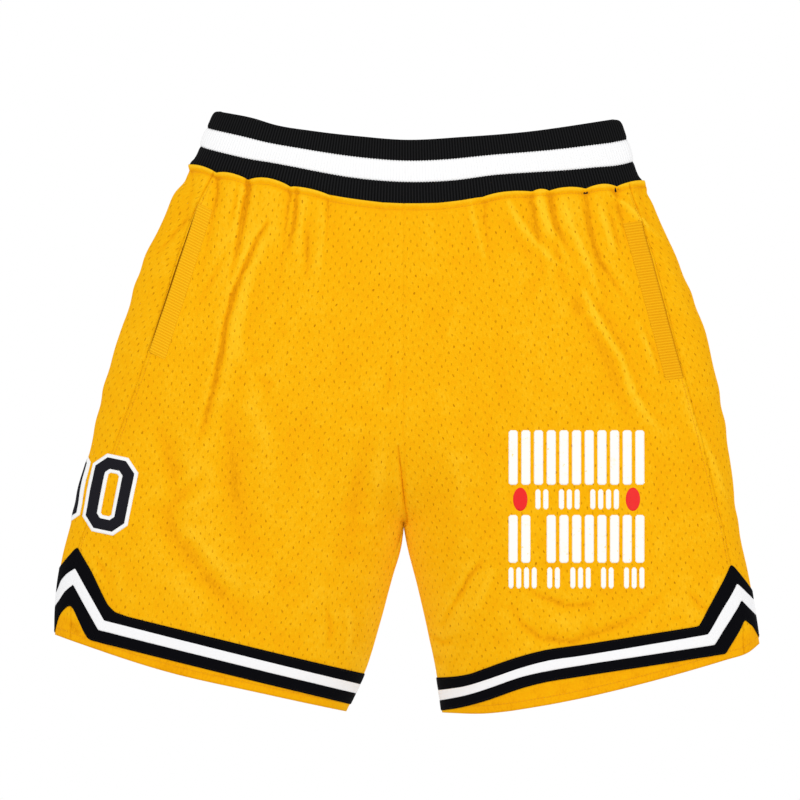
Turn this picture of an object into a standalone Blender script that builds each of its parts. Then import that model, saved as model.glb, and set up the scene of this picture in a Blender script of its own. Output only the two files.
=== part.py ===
"""Basketball-cut boxing shorts, opened up on an unseen form and hanging upright.

Frame: origin at the middle of the waist opening, level with the top of the
waistband at the front.  +X runs to the wearer's left (a viewer in front sees it
on the right), -Y is the front, +Z is up.  Lengths below are millimetres.

Each half of the garment is a four-sided patch: s runs from the outer fold (0)
to the centre seam or inseam (1), t from the waist seam (0) to the hem (1).  The
front lies at -Y and the back at +Y, and the two turn into each other at the
fold and, below the crotch, at the inseam.  Every layer is an open sheet on that
patch, thickened with Solidify.
"""
import math

import bmesh
import bpy
import numpy as np

MM = 0.001

# ---------------------------------------------------------------- dimensions
# outlines, from the top down, seen from the front (x, z)
OUTER = {
    -1: ((-193, -24), (-205, -41), (-221, -73), (-237, -109), (-249, -145),
         (-266, -199), (-280, -253), (-293, -307), (-304, -345), (-312, -379),
         (-316, -415), (-317, -446)),
    1: ((212, -38), (221, -55), (237, -91), (253, -127), (266, -163),
        (277, -199), (287, -253), (295, -307), (302, -361), (308, -388),
        (313, -415), (319, -450)),
}
CENTRE_X = -2.0                     # centre seam
CROTCH_Z = -352.0
INSEAM = {
    -1: ((-2, -352), (-17, -415), (-33, -466), (-54, -515)),
    1: ((-2, -352), (12, -415), (23, -469), (33, -516)),
}
HEM = {                             # from the outer fold to the inseam
    -1: ((-317, -446), (-210, -480), (-130, -498), (-54, -515)),
    1: ((319, -450), (304, -463), (212, -488), (140, -504), (68, -517), (33, -516)),
}
WAIST_SEAM = ((-193, -24), (-145, -36), (-99, -47), (-50, -54), (-2, -58),
              (44, -57), (85, -51), (122, -47), (176, -43), (212, -38))
WAIST_TOP = ((-170, 26), (-138, 19), (-117, 13), (-86, 8), (-40, 3), (-2, 0),
             (54, 3), (116, 8), (154, 13), (192, 18))

# how far the sheets stand from the middle plane, from waist to hem
DEPTH_T = (0.0, 0.2, 0.42, 0.65, 1.0)
DEPTH_FRONT = (46.0, 50.0, 54.0, 55.0, 57.0)
DEPTH_BACK = (50.0, 60.0, 67.0, 62.0, 59.0)
FOLD_WIDTH = 190.0                  # distance over which the outer fold rounds off
INSEAM_WIDTH = 105.0                # the same at the inseam and above the crotch
ROUNDNESS = 0.6

PANEL = 1.0                         # perforated mesh, thickness
SEAM_GAP = 1.2                      # between neighbouring pieces
FOLD_GAP = 0.024                    # share of the loop left open along the inseam
RIB = 1.2                           # one layer of the knitted waist rib
BAND_STRIPES = (0.0, 0.34, 0.69, 1.0)   # stripe edges, from the seam up
LAYER_GAP = 1.0                     # between layers that are sewn together
LOOP = np.linspace(-1, 1, 41)       # facets round a leg, shared by every layer
TAPE = 0.6
TWILL = 0.5
PRINT = 0.4

# side seam: share of the width in from the outer fold, from waist to hem
SIDE_SEAM_T = (0.0, 0.42, 0.80, 1.0)
SIDE_SEAM_S = (0.07, 0.115, 0.055, 0.042)

# hips: axis height, and the flexible zone below the plane through the crotch
HIP_Z = -235.0
FLEX_SLOPE = math.radians(30)
FLEX_LENGTH = 72.0

# pocket welts: outer and inner edge, top and bottom (x, z)
WELT = {
    -1: ((-186, -59), (-230, -192), (-174, -65), (-216, -199)),
    1: ((211, -74), (249, -215), (195, -76), (233, -217)),
}
WELT_THICK = 1.6

# hem tape: four edges from the top down, each (x, z) from the outer fold inwards
TAPE_EDGES = {
    -1: (((-310, -386), (-296, -368), (-279, -393), (-264, -419), (-254, -428), (-38, -481)),
         ((-315, -401), (-297, -386), (-271, -433), (-39, -491)),
         ((-316, -431), (-299, -400), (-277, -442), (-43, -499)),
         ((-317, -444), (-301, -418), (-286, -450), (-47, -509))),
    1: (((311, -413), (292, -382), (263, -437), (123, -459), (52, -481), (29, -485)),
        ((313, -428), (297, -400), (271, -446), (123, -470), (30, -495)),
        ((316, -440), (301, -415), (278, -455), (123, -481), (31, -505)),
        ((318, -449), (304, -432), (287, -463), (104, -491), (33, -515))),
}

# number zeroes: middle, size, tilt; x is measured on the unfolded cloth
DIGIT_HEIGHT, DIGIT_WIDTH, DIGIT_TILT = 75.0, 50.0, math.radians(9)
DIGIT_BAR = 16.0
DIGIT_TRIM = 4.0
DIGITS = ((-267.5, -319.0), (-317.5, -315.0))

# printed blocks on the other leg: x from, x to, z from, z to
PRINT_ROWS = {
    "print_row_1": (92, 214, -262, -311),
    "print_row_2": (115, 192, -315, -333),
    "print_row_3": (92, 214, -338, -381),
    "print_row_4": (92, 214, -385, -404),
}
PRINT_DISCS = {"print_disc_inner": (102.5, -324), "print_disc_outer": (203.5, -324)}
DISC_SIZE = (13.0, 21.0)

COLOURS = {
    "mesh_gold": ((0.90, 0.40, 0.005, 1), 0.8),
    "rib_gold": ((0.88, 0.42, 0.012, 1), 0.85),
    "rib_black": ((0.006, 0.006, 0.007, 1), 0.85),
    "rib_white": ((0.90, 0.90, 0.90, 1), 0.85),
    "elastic": ((0.75, 0.75, 0.72, 1), 0.7),
    "tape_black": ((0.005, 0.005, 0.008, 1), 0.75),
    "tape_white": ((0.88, 0.88, 0.90, 1), 0.75),
    "twill_black": ((0.008, 0.008, 0.010, 1), 0.7),
    "twill_white": ((0.88, 0.88, 0.88, 1), 0.7),
    "print_white": ((0.92, 0.91, 0.88, 1), 0.55),
    "print_red": ((0.80, 0.006, 0.004, 1), 0.55),
}


# ------------------------------------------------------------------- curves
def curve(points):
    """A smooth curve through the points: f(u) for u in 0..1, by Catmull-Rom
    between points spaced by chord length."""
    p = np.array(points, float)
    knots = np.concatenate([[0], np.cumsum(np.linalg.norm(np.diff(p, axis=0), axis=1))])
    knots /= knots[-1]
    slope = np.gradient(p, knots, axis=0)

    def at(u):
        u = np.clip(np.asarray(u, float), 0, 1)
        i = np.clip(np.searchsorted(knots, u, side="right") - 1, 0, len(knots) - 2)
        h = knots[i + 1] - knots[i]
        w = (u - knots[i]) / h
        w, h = w[..., None], h[..., None]
        return ((1 + 2 * w) * (1 - w) ** 2 * p[i] + w * (1 - w) ** 2 * h * slope[i]
                + w * w * (3 - 2 * w) * p[i + 1] + w * w * (w - 1) * h * slope[i + 1])

    return at


def waist_curve(points):
    """f(a): a is -1 at the left fold, 0 at the centre seam, 1 at the right fold."""
    p = np.array(points, float)
    whole = curve(p)
    u = np.linspace(0, 1, 401)
    x = whole(u)[:, 0]
    ends = np.interp(np.array([-1.0, 0.0, 1.0]), [-1, 0, 1], [x[0], CENTRE_X, x[-1]])

    def at(a):
        a = np.asarray(a, float)
        want = np.where(a < 0, ends[1] + a * (ends[1] - ends[0]), ends[1] + a * (ends[2] - ends[1]))
        return whole(np.interp(want, x, u))

    return at


seam_line, top_line = waist_curve(WAIST_SEAM), waist_curve(WAIST_TOP)
outer_line = {k: curve(v) for k, v in OUTER.items()}
inseam_line = {k: curve(v) for k, v in INSEAM.items()}
hem_line = {k: curve(v) for k, v in HEM.items()}
CENTRE_TOP = seam_line(0.0)
RISE = CENTRE_TOP[1] - CROTCH_Z
T_CROTCH = {k: RISE / (RISE + np.linalg.norm(np.diff(np.array(v, float), axis=0), axis=1).sum())
            for k, v in INSEAM.items()}


def inner_line(side, t):
    """Centre seam down to the crotch, then the inseam."""
    t = np.asarray(t, float)
    tc = T_CROTCH[side]
    up = np.clip(t / tc, 0, 1)[..., None]
    down = np.clip((t - tc) / (1 - tc), 0, 1)
    rise = (1 - up) * CENTRE_TOP + up * np.array([CENTRE_X, CROTCH_Z])
    return np.where((t < tc)[..., None], rise, inseam_line[side](down))


def flat_point(side, s, t):
    """(x, z) of patch point s, t, in the plane of the front view."""
    s, t = np.broadcast_arrays(np.asarray(s, float), np.asarray(t, float))
    a = side * (1 - s)
    top, bottom = seam_line(a), hem_line[side](s)
    outer, inner = outer_line[side](t), inner_line(side, t)
    s, t = s[..., None], t[..., None]
    corners = ((1 - s) * (1 - t) * seam_line(float(side)) + s * (1 - t) * CENTRE_TOP
               + (1 - s) * t * hem_line[side](0.0) + s * t * hem_line[side](1.0))
    return (1 - s) * outer + s * inner + (1 - t) * top + t * bottom - corners


def patch_of(side, x, z):
    """The s, t whose flat point is x, z, by Newton steps."""
    s, t = np.full(np.shape(x), 0.4), np.full(np.shape(x), 0.5)
    goal, e = np.stack([np.asarray(x, float), np.asarray(z, float)], -1), 1e-4
    for _ in range(25):
        here = flat_point(side, s, t)
        ds = (flat_point(side, s + e, t) - flat_point(side, s - e, t)) / (2 * e)
        dt = (flat_point(side, s, t + e) - flat_point(side, s, t - e)) / (2 * e)
        det = ds[..., 0] * dt[..., 1] - ds[..., 1] * dt[..., 0]
        off = goal - here
        s = np.clip(s + (off[..., 0] * dt[..., 1] - off[..., 1] * dt[..., 0]) / det, 0, 1)
        t = np.clip(t + (ds[..., 0] * off[..., 1] - ds[..., 1] * off[..., 0]) / det, 0, 1)
    return s, t


def rounded(distance, width):
    return (1 - (1 - np.clip(distance / width, 0, 1)) ** 2) ** ROUNDNESS


def body_point(side, v, t):
    """Point on the cloth.  v is 1 at the front centre or inseam, 0 at the outer
    fold, -1 at the back centre or inseam."""
    v, t = np.broadcast_arrays(np.asarray(v, float), np.asarray(t, float))
    s = (1 - np.cos(np.pi * np.abs(v))) / 2
    flat = flat_point(side, s, t)
    width = np.linalg.norm(inner_line(side, t) - outer_line[side](t), axis=-1)
    line = np.array(INSEAM[side][-1], float) - np.array([CENTRE_X, CROTCH_Z])
    line /= np.linalg.norm(line)
    away = flat - np.array([CENTRE_X, CROTCH_Z])
    along = np.clip(away @ line, 0, None)
    near_inseam = np.linalg.norm(away - along[..., None] * line, axis=-1)
    inseam_gap = (1 - s) * width                       # exact zero on the inseam
    near = np.where(t > T_CROTCH[side], inseam_gap, near_inseam)
    blend = np.clip((t - T_CROTCH[side]) / 0.12, 0, 1)
    near = np.where(t > T_CROTCH[side], (1 - blend) * np.minimum(near_inseam, inseam_gap) + blend * inseam_gap, near)
    depth = np.where(v >= 0, -np.interp(t, DEPTH_T, DEPTH_FRONT), np.interp(t, DEPTH_T, DEPTH_BACK))
    y = depth * rounded(s * width, FOLD_WIDTH) * rounded(near, INSEAM_WIDTH)
    return np.stack([flat[..., 0], y, flat[..., 1]], -1)


def band_point(a, h, front):
    """Point on the waistband: a from fold to fold, h from the seam (0) to the top (1)."""
    a, h = np.broadcast_arrays(np.asarray(a, float), np.asarray(h, float))
    flat = (1 - h)[..., None] * seam_line(a) + h[..., None] * top_line(a)
    half = np.where(a < 0, CENTRE_X - WAIST_SEAM[0][0], WAIST_SEAM[-1][0] - CENTRE_X)
    depth = -DEPTH_FRONT[0] if front else DEPTH_BACK[0]
    y = depth * (1 - 0.05 * h) * rounded((1 - np.abs(a)) * half, FOLD_WIDTH)
    return np.stack([flat[..., 0], y, flat[..., 1]], -1)


def outward(side, v, t, e=0.03):
    """Unit normals of the cloth.  The loop closes on itself below the crotch, and
    ends at the centre seam above it."""
    ahead, behind = v + e, v - e
    wrap = t > T_CROTCH[side]
    ahead = np.where(wrap, np.where(ahead > 1, ahead - 2, ahead), np.clip(ahead, -1, 1))
    behind = np.where(wrap, np.where(behind < -1, behind + 2, behind), np.clip(behind, -1, 1))
    du = body_point(side, ahead, t) - body_point(side, behind, t)
    dw = body_point(side, v, t + 0.01) - body_point(side, v, t - 0.01)
    n = np.cross(du, dw) * side
    return n / (np.linalg.norm(n, axis=-1, keepdims=True) + 1e-12)


# ------------------------------------------------------------------ objects
for old in list(bpy.data.objects):
    bpy.data.objects.remove(old, do_unlink=True)
shorts = bpy.data.collections.new("boxing_shorts")
bpy.context.scene.collection.children.link(shorts)


def material(node, slot):
    mat = bpy.data.materials.new(node + "_" + slot)
    mat.use_nodes = True
    shader = mat.node_tree.nodes["Principled BSDF"]
    colour, rough = COLOURS[slot]
    shader.inputs["Base Color"].default_value = colour
    shader.inputs["Roughness"].default_value = rough
    shader.inputs["Metallic"].default_value = 0.0
    mat.diffuse_color = colour
    return mat


def pivot(name, at):
    empty = bpy.data.objects.new(name, None)
    empty.location = [c * MM for c in at]
    empty.empty_display_size = 0.03
    shorts.objects.link(empty)
    return empty


def sheet(name, slot, fn, rows, columns, thick, parent=None, closed=False, cuts=(), bend=None):
    """A grid shaped by fn(u, w), u and w in 0..1, thickened evenly about it.
    A closed grid joins its first column to its last.  With bend, fn gives flat
    places, which are cut along x = cuts and then bent by bend(x, y)."""
    bm = bmesh.new()
    bmesh.ops.create_grid(bm, x_segments=columns, y_segments=rows, size=0.5)
    verts = list(bm.verts)
    uw = np.array([[v.co.x + 0.5, v.co.y + 0.5] for v in verts])
    for vert, at in zip(verts, fn(uw[:, 0], uw[:, 1])):
        vert.co = at * MM
    if closed:
        bmesh.ops.remove_doubles(bm, verts=bm.verts[:], dist=1e-6)
    for x in cuts:
        bmesh.ops.bisect_plane(bm, geom=bm.verts[:] + bm.edges[:] + bm.faces[:],
                               dist=1e-7, plane_co=(x * MM, 0, 0), plane_no=(1, 0, 0))
    if bend:
        verts = list(bm.verts)
        flat = np.array([v.co[:2] for v in verts]) / MM
        for vert, at in zip(verts, bend(flat[:, 0], flat[:, 1])):
            vert.co = at * MM
        bmesh.ops.triangulate(bm, faces=bm.faces[:])
    bmesh.ops.recalc_face_normals(bm, faces=bm.faces[:])
    mesh = bpy.data.meshes.new(name)
    bm.to_mesh(mesh)
    bm.free()
    obj = bpy.data.objects.new(name, mesh)
    mesh.materials.append(material(name, slot))
    if parent:
        # the sheet's own origin goes to its pivot
        obj.parent = parent
        for vert in mesh.vertices:
            vert.co -= parent.location
    mesh.shade_smooth()
    mod = obj.modifiers.new("thickness", "SOLIDIFY")
    mod.thickness = thick * MM
    mod.offset = 0.0
    shorts.objects.link(obj)
    return obj


def cloth(side, v, t, off):
    """Cloth point moved off outwards along the normal."""
    v, t = np.broadcast_arrays(np.asarray(v, float), np.asarray(t, float))
    return body_point(side, v, t) + off * outward(side, v, np.clip(t, 0.012, 0.988))


def v_of(q):
    """Loop position of a signed share q of the width."""
    q = np.clip(np.asarray(q, float), -1, 1)
    return np.sign(q) * np.arccos(1 - 2 * np.abs(q)) / np.pi


def side_seam_v(t):
    return v_of(np.interp(t, SIDE_SEAM_T, SIDE_SEAM_S))


# the flexible zone: t where a line of constant v meets the two planes
def flex_t(side, v, distance):
    """t where the distance below the plane through the crotch is `distance`."""
    t = np.linspace(0.05, 0.999, 240)
    v = np.asarray(v, float)
    p = flat_point(side, ((1 - np.cos(np.pi * np.abs(v))) / 2)[..., None] * np.ones(240), t * np.ones(v.shape + (1,)))
    d = (side * math.sin(FLEX_SLOPE) * (p[..., 0] - CENTRE_X)
         - math.cos(FLEX_SLOPE) * (p[..., 1] - CROTCH_Z))
    flat = d.reshape(-1, 240)
    return np.array([np.interp(distance, row, t) for row in flat]).reshape(v.shape)


def edges_of(side, part, v):
    """Upper and lower t of one zone of a panel at loop position v."""
    half = SEAM_GAP / 2 / 480
    first, last = flex_t(side, v, 0.0), flex_t(side, v, FLEX_LENGTH)
    if part == "hip":
        return np.full(v.shape, 0.002 + half), first - 2 * half
    if part == "groin":
        return first + 2 * half, last - 2 * half
    return last + 2 * half, np.full(v.shape, 1.0)


def panel(name, side, face, part, rows, parent=None):
    """One zone of a front (face 1) or back (face -1) panel.  The back panel wraps
    round the outer fold to the side seam."""
    # columns on the shared facets: the front from its side seam, the back round the fold
    if face > 0:
        inner = LOOP[LOOP > 0.24]
    else:
        inner = -LOOP[LOOP < 0.12][::-1]
    columns = len(inner)
    shares = np.linspace(0, 1, columns + 1)

    def shape(u, w):
        # u from the side seam to the centre or inseam, w from top to bottom
        t = np.full(u.shape, 0.5)
        for _ in range(3):
            seam = side_seam_v(t)
            start = seam + face * 0.008
            end = face * (1.0 if part == "hip" else 1 - FOLD_GAP)
            v = face * np.interp(u, shares, np.concatenate([[0.0], inner]))
            first = np.abs(u) < 0.5 / columns
            v = np.where(first, start, np.where(u > 1 - 0.5 / columns, end, v))
            lo, hi = edges_of(side, part, v)
            t = lo + (hi - lo) * w
        p = body_point(side, v, t)
        # keep the two halves apart at the centre seam and crotch
        share = np.clip((u - 0.8) / 0.2, 0, 1)
        p[..., 0] += side * 0.9 * share
        return p

    return sheet(name, "mesh_gold", shape, rows, columns, PANEL, parent)


SIDES = (("left", -1), ("right", 1))
hips = {name: pivot("hip_axis_" + name, (side * 140.0, 0.0, HIP_Z)) for name, side in SIDES}

for name, side in SIDES:
    for face_name, face in (("front", 1), ("back", -1)):
        panel(f"hip_panel_{face_name}_{name}", side, face, "hip", 7)
        panel(f"flex_panel_{face_name}_{name}", side, face, "groin", 3)
        panel(f"leg_panel_{face_name}_{name}", side, face, "leg", 5, hips[name])


# waistband: ring sheets over the whole turn, u from the left fold along the front
def ring(u, h, off):
    turn = (u * 2) % 2.0
    front = turn < 1.0
    along = np.where(front, turn, 2.0 - turn)           # 0 left fold .. 1 right fold
    a = -np.cos(np.pi * along)

    def at(shift_a, shift_h):
        tt = (turn + shift_a) % 2.0
        al = np.where(tt < 1.0, tt, 2.0 - tt)
        aa, hh = -np.cos(np.pi * al), h + shift_h
        return np.where((tt < 1.0)[..., None], band_point(aa, hh, True), band_point(aa, hh, False))

    p = at(0, 0)
    du, dh = at(0.02, 0) - at(-0.02, 0), at(0, 0.02) - at(0, -0.02)
    n = np.cross(du, dh)
    n /= np.linalg.norm(n, axis=-1, keepdims=True)
    return p + off * n


def band(name, slot, low, high, off, thick, columns=44, rows=1):
    def shape(u, w):
        return ring(np.where(u > 0.9999, 0.0, u), low + (high - low) * w, off)
    return sheet(name, slot, shape, rows, columns, thick, closed=True)


BAND_FOOT = 0.03
BAND_LAYER = 1.9                    # middle of one band layer to the next
for i, (piece, slot) in enumerate((("waistband_lower_black", "rib_black"),
                                   ("waistband_middle_white", "rib_white"),
                                   ("waistband_upper_black", "rib_black"))):
    low = max(BAND_STRIPES[i], BAND_FOOT) + 0.008 * (i > 0)
    high = BAND_STRIPES[i + 1] - 0.008 * (i < 2)
    band(piece, slot, low, high, BAND_LAYER, RIB)
band("waistband_elastic", "elastic", 0.05, 0.97, 0.0, 1.0)
band("waistband_rib_inner", "rib_black", BAND_FOOT, 1.0, -BAND_LAYER, RIB)


# pocket welts and bags
def strip_points(side, name):
    return [np.array(p, float) for p in WELT[side]]


WELT_PIVOTS = {}
for name, side in SIDES:
    outer_top, outer_low, inner_top, inner_low = strip_points(side, name)

    def on_cloth(xz, off, side=side):
        s, t = patch_of(side, xz[..., 0], xz[..., 1])
        return cloth(side, v_of(s), t, off)

    lift = PANEL / 2 + LAYER_GAP + WELT_THICK / 2
    hinge = on_cloth(np.array([inner_top, inner_low]), lift - WELT_THICK / 2)
    middle = hinge.mean(0)
    WELT_PIVOTS[name] = (middle, hinge[1] - hinge[0])
    axis = pivot("welt_axis_" + name, middle)

    def welt(u, w, o=(outer_top, outer_low, inner_top, inner_low), lift=lift, on=on_cloth):
        outer = o[0] + (o[1] - o[0]) * w[..., None]
        inner = o[2] + (o[3] - o[2]) * w[..., None]
        return on(inner + (outer - inner) * u[..., None], lift)

    sheet(f"pocket_welt_{name}", "rib_gold", welt, 10, 2, WELT_THICK, axis)

    def bag(u, w, side=side):
        top = np.full(u.shape, 0.03)
        s = 0.15 + 0.42 * u
        v = v_of(s)
        low = flex_t(side, v, -14.0)
        reach = np.minimum(low, 0.66)
        t = top + (reach - top) * w
        return cloth(side, v, t, -(PANEL / 2 + LAYER_GAP + 0.9))

    sheet(f"pocket_bag_{name}", "mesh_gold", bag, 7, 6, 1.6)


# hem tapes: three stripes round each leg, rising to a point at the side seam
def tape_edge(side, number):
    """(q, t) corners of one edge round the whole leg: q is the signed share of
    the width, positive at the front."""
    pts = np.array(TAPE_EDGES[side][number], float)
    s, t = patch_of(side, pts[:, 0], pts[:, 1])
    s[0] = 0.0
    s[-1] = 1.0
    apex_q, apex_t = s[1], t[1]
    foot = t[4] if (side, number) == (-1, 0) else t[2]
    t[0] = min(t[0], foot)
    fall = (t[0] - apex_t) / apex_q
    back_q = min(apex_q - (foot - apex_t) / fall, -0.015)
    q = np.concatenate([[-1.0, back_q], s])
    level = np.concatenate([[t[-1], foot], t])
    return q, np.minimum(level, 0.996)


for name, side in SIDES:
    lines = [tape_edge(side, i) for i in range(4)]
    # columns at every corner, and evenly between
    marks = np.unique(np.round(np.concatenate([v_of(q) for q, _ in lines] + [LOOP]), 4))
    keep = [marks[0]]
    for m in marks[1:]:
        if m - keep[-1] > 0.012:
            keep.append(m)
    keep[-1] = 1.0
    marks = np.array(keep)

    def tape(number, side=side, lines=lines, marks=marks):
        def shape(u, w):
            v = np.interp(u, np.linspace(0, 1, len(marks)), marks)
            q = np.sign(v) * (1 - np.cos(np.pi * np.abs(v))) / 2
            up = np.interp(q, *lines[number])
            low = np.interp(q, *lines[number + 1])
            t = up + 0.0012 + (low - up - 0.0024) * w
            v = np.where(v < -0.9999, 1.0, v)
            return cloth(side, v, t, PANEL / 2 + LAYER_GAP + TAPE / 2)
        return shape

    for number, piece, slot in ((0, "upper_black", "tape_black"), (1, "middle_white", "tape_white"),
                                (2, "lower_black", "tape_black")):
        sheet(f"hem_tape_{piece}_{name}", slot, tape(number), 1, len(marks) - 1, TAPE, hips[name], closed=True)

    def facing(u, w, side=side):
        v = -1 + 2 * u
        t = 0.945 + (0.997 - 0.945) * w
        return cloth(side, np.where(v < -0.9999, 1.0, v), t, -(PANEL / 2 + 1.6 * LAYER_GAP + TAPE / 2))

    sheet(f"hem_facing_{name}", "mesh_gold", facing, 1, 40, TAPE, hips[name], closed=True)


# numbers: eight-cornered zeroes, each a white backing with a black bar on it
def octagon(angle, width, height, cut):
    """Distance from the middle to the edge of an eight-cornered block, at an angle."""
    c, s = np.abs(np.cos(angle)) + 1e-9, np.abs(np.sin(angle)) + 1e-9
    side_r, top_r = width / 2 / c, height / 2 / s
    corner = (width / 2 + height / 2 - cut) / (c + s)
    return np.minimum(np.minimum(side_r, top_r), corner)


def fold_x(side, z):
    line = outer_line[side](np.linspace(0, 1, 200))[::-1]
    return np.interp(z, line[:, 1], line[:, 0])


def unfolded(side, past, z, off):
    """Cloth point at height z and `past` beyond the outer fold, on the cloth laid
    flat and unfolded to the back."""
    s, t = patch_of(side, fold_x(side, z) - side * np.abs(past), z)
    return cloth(side, v_of(np.where(past > 0, -s, s)), t, off)


FOLD_CUTS = (-15.7, -7.1, -1.8, 0.0, 1.8, 7.1, 15.7)


def zero(name, slot, middle, outer, inner, thick, off, side, parent):
    angles = np.radians(np.arange(0, 360, 12.0))
    n = len(angles)

    def shape(u, w):
        k = np.round(np.where(u > 0.9999, 0.0, u) * n).astype(int) % n
        ang = angles[k]
        r = octagon(ang, *outer) * (1 - w) + octagon(ang, *inner) * w
        x, z = r * np.cos(ang), r * np.sin(ang)
        # the block leans with its top towards the front
        xx = middle[0] + x * math.cos(DIGIT_TILT) + z * math.sin(DIGIT_TILT)
        zz = middle[1] - x * math.sin(DIGIT_TILT) + z * math.cos(DIGIT_TILT)
        return np.stack([side * (xx - fold_x(side, zz)), zz, 0 * zz], -1)

    return sheet(name, slot, shape, 2, n, thick, parent, closed=True, cuts=FOLD_CUTS,
                 bend=lambda past, z: unfolded(side, past, z, off))


BASE = PANEL / 2 + LAYER_GAP + TWILL / 2
for label, middle in zip(("front", "rear"), DIGITS):
    w, h, bar, trim = DIGIT_WIDTH, DIGIT_HEIGHT, DIGIT_BAR, DIGIT_TRIM
    zero(f"number_backing_{label}", "twill_white", middle, (w - 1, h, 13.0),
         (w - 2 * bar - 2 * trim + 3, h - 2 * bar - 2 * trim, 5.0), TWILL, BASE, -1, hips["left"])
    zero(f"number_fill_{label}", "twill_black", middle, (w - 1 - 2 * trim, h - 2 * trim, 11.0),
         (w - 2 * bar + 3, h - 2 * bar, 6.0), TWILL, BASE + TWILL + 0.6, -1, hips["left"])


# printed blocks
def block(u, w, box):
    x, z = box[0] + (box[1] - box[0]) * u, box[2] + (box[3] - box[2]) * w
    s, t = patch_of(1, x, z)
    return cloth(1, v_of(s), t, PANEL / 2 + LAYER_GAP + PRINT / 2)


for node, box in PRINT_ROWS.items():
    sheet(node, "print_white", lambda u, w, box=box: block(u, w, box), 3, 8, PRINT)


def disc(u, w, middle):
    """A square grid drawn out to an oval."""
    a, b = 2 * u - 1, 2 * w - 1
    x = middle[0] + DISC_SIZE[0] / 2 * a * np.sqrt(1 - b * b / 2)
    z = middle[1] + DISC_SIZE[1] / 2 * b * np.sqrt(1 - a * a / 2)
    s, t = patch_of(1, x, z)
    return cloth(1, v_of(s), t, PANEL / 2 + LAYER_GAP + PRINT / 2)


for node, middle in PRINT_DISCS.items():
    sheet(node, "print_red", lambda u, w, middle=middle: disc(u, w, middle), 4, 4, PRINT)
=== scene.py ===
"""Looks of the boxing shorts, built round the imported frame.

Every layer is sampled from one cloth surface per half of the garment.  side is
-1 for the half at -X and 1 for the half at +X; v runs round the half from the
back centre (-1) over the outer fold (0) to the front centre (1); t runs from the
waist seam (0) to the hem (1).  Lengths are millimetres until a mesh is made.
"""
import math

import bmesh
import bpy
import numpy as np
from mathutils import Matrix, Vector


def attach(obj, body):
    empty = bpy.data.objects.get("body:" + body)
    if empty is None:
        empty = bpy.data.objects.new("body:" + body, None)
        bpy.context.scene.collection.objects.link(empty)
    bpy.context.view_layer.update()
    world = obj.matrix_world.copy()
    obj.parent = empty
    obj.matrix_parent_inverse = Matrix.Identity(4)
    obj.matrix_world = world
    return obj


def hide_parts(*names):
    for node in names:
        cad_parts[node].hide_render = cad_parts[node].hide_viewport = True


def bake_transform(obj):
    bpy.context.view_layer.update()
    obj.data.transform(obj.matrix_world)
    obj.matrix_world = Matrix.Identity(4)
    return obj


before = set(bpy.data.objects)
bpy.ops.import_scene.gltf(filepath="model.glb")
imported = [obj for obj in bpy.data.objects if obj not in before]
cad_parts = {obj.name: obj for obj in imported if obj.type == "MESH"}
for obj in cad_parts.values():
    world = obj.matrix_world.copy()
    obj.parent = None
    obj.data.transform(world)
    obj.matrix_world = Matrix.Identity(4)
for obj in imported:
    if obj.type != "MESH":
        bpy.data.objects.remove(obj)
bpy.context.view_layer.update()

MM = 0.001
rng = np.random.default_rng(7)

# ----------------------------------------------------------------- the frame's surface
OUTER = {
    -1: ((-193, -24), (-205, -41), (-221, -73), (-237, -109), (-249, -145),
         (-266, -199), (-280, -253), (-292.5, -307), (-302.5, -345), (-311, -379),
         (-316, -415), (-317, -446)),
    1: ((212, -38), (221, -55), (237, -91), (253, -127), (266, -163),
        (277, -199), (287, -253), (295, -307), (302, -361), (308, -388),
        (313, -415), (319, -454)),
}
CENTRE_X = -2.0
CROTCH_Z = -346.0
INSEAM = {
    -1: ((-2, -346), (-4.4, -366), (-12.5, -395), (-22, -430), (-37, -479), (-54, -515)),
    1: ((-2, -346), (1.6, -366), (10.8, -402), (19.0, -437), (28.4, -484), (33, -516)),
}
HEM = {
    -1: ((-317, -446), (-210, -480), (-130, -498), (-54, -515)),
    1: ((319, -454), (308, -462), (288, -468.3), (255, -477.9), (212, -489.5), (155, -503), (121, -509.5), (68, -516.5), (33, -516)),
}
WAIST_SEAM = ((-193, -24.5), (-150, -35.6), (-126, -38.6), (-106, -42.6), (-84, -47.6), (-50, -54.5), (-2, -58.6),
              (44, -57.4), (85, -51), (118, -49), (152, -47.8), (176, -46), (194, -45), (212, -41.2))
WAIST_TOP = ((-170, 24.3), (-138, 17.9), (-117, 11.5), (-86, 6.4), (-40, 1), (-2, -2),
             (54, 0.8), (116, 6.2), (154, 11.6), (191, 17.7))
DEPTH_T = (0.0, 0.2, 0.42, 0.65, 1.0)
DEPTH_FRONT = (46.0, 50.0, 54.0, 55.0, 57.0)
DEPTH_BACK = (50.0, 60.0, 67.0, 62.0, 59.0)
FOLD_WIDTH = 190.0
INSEAM_WIDTH = 105.0
ROUNDNESS = 0.6
BAND_STRIPES = (0.0, 0.34, 0.68, 1.0)
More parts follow.
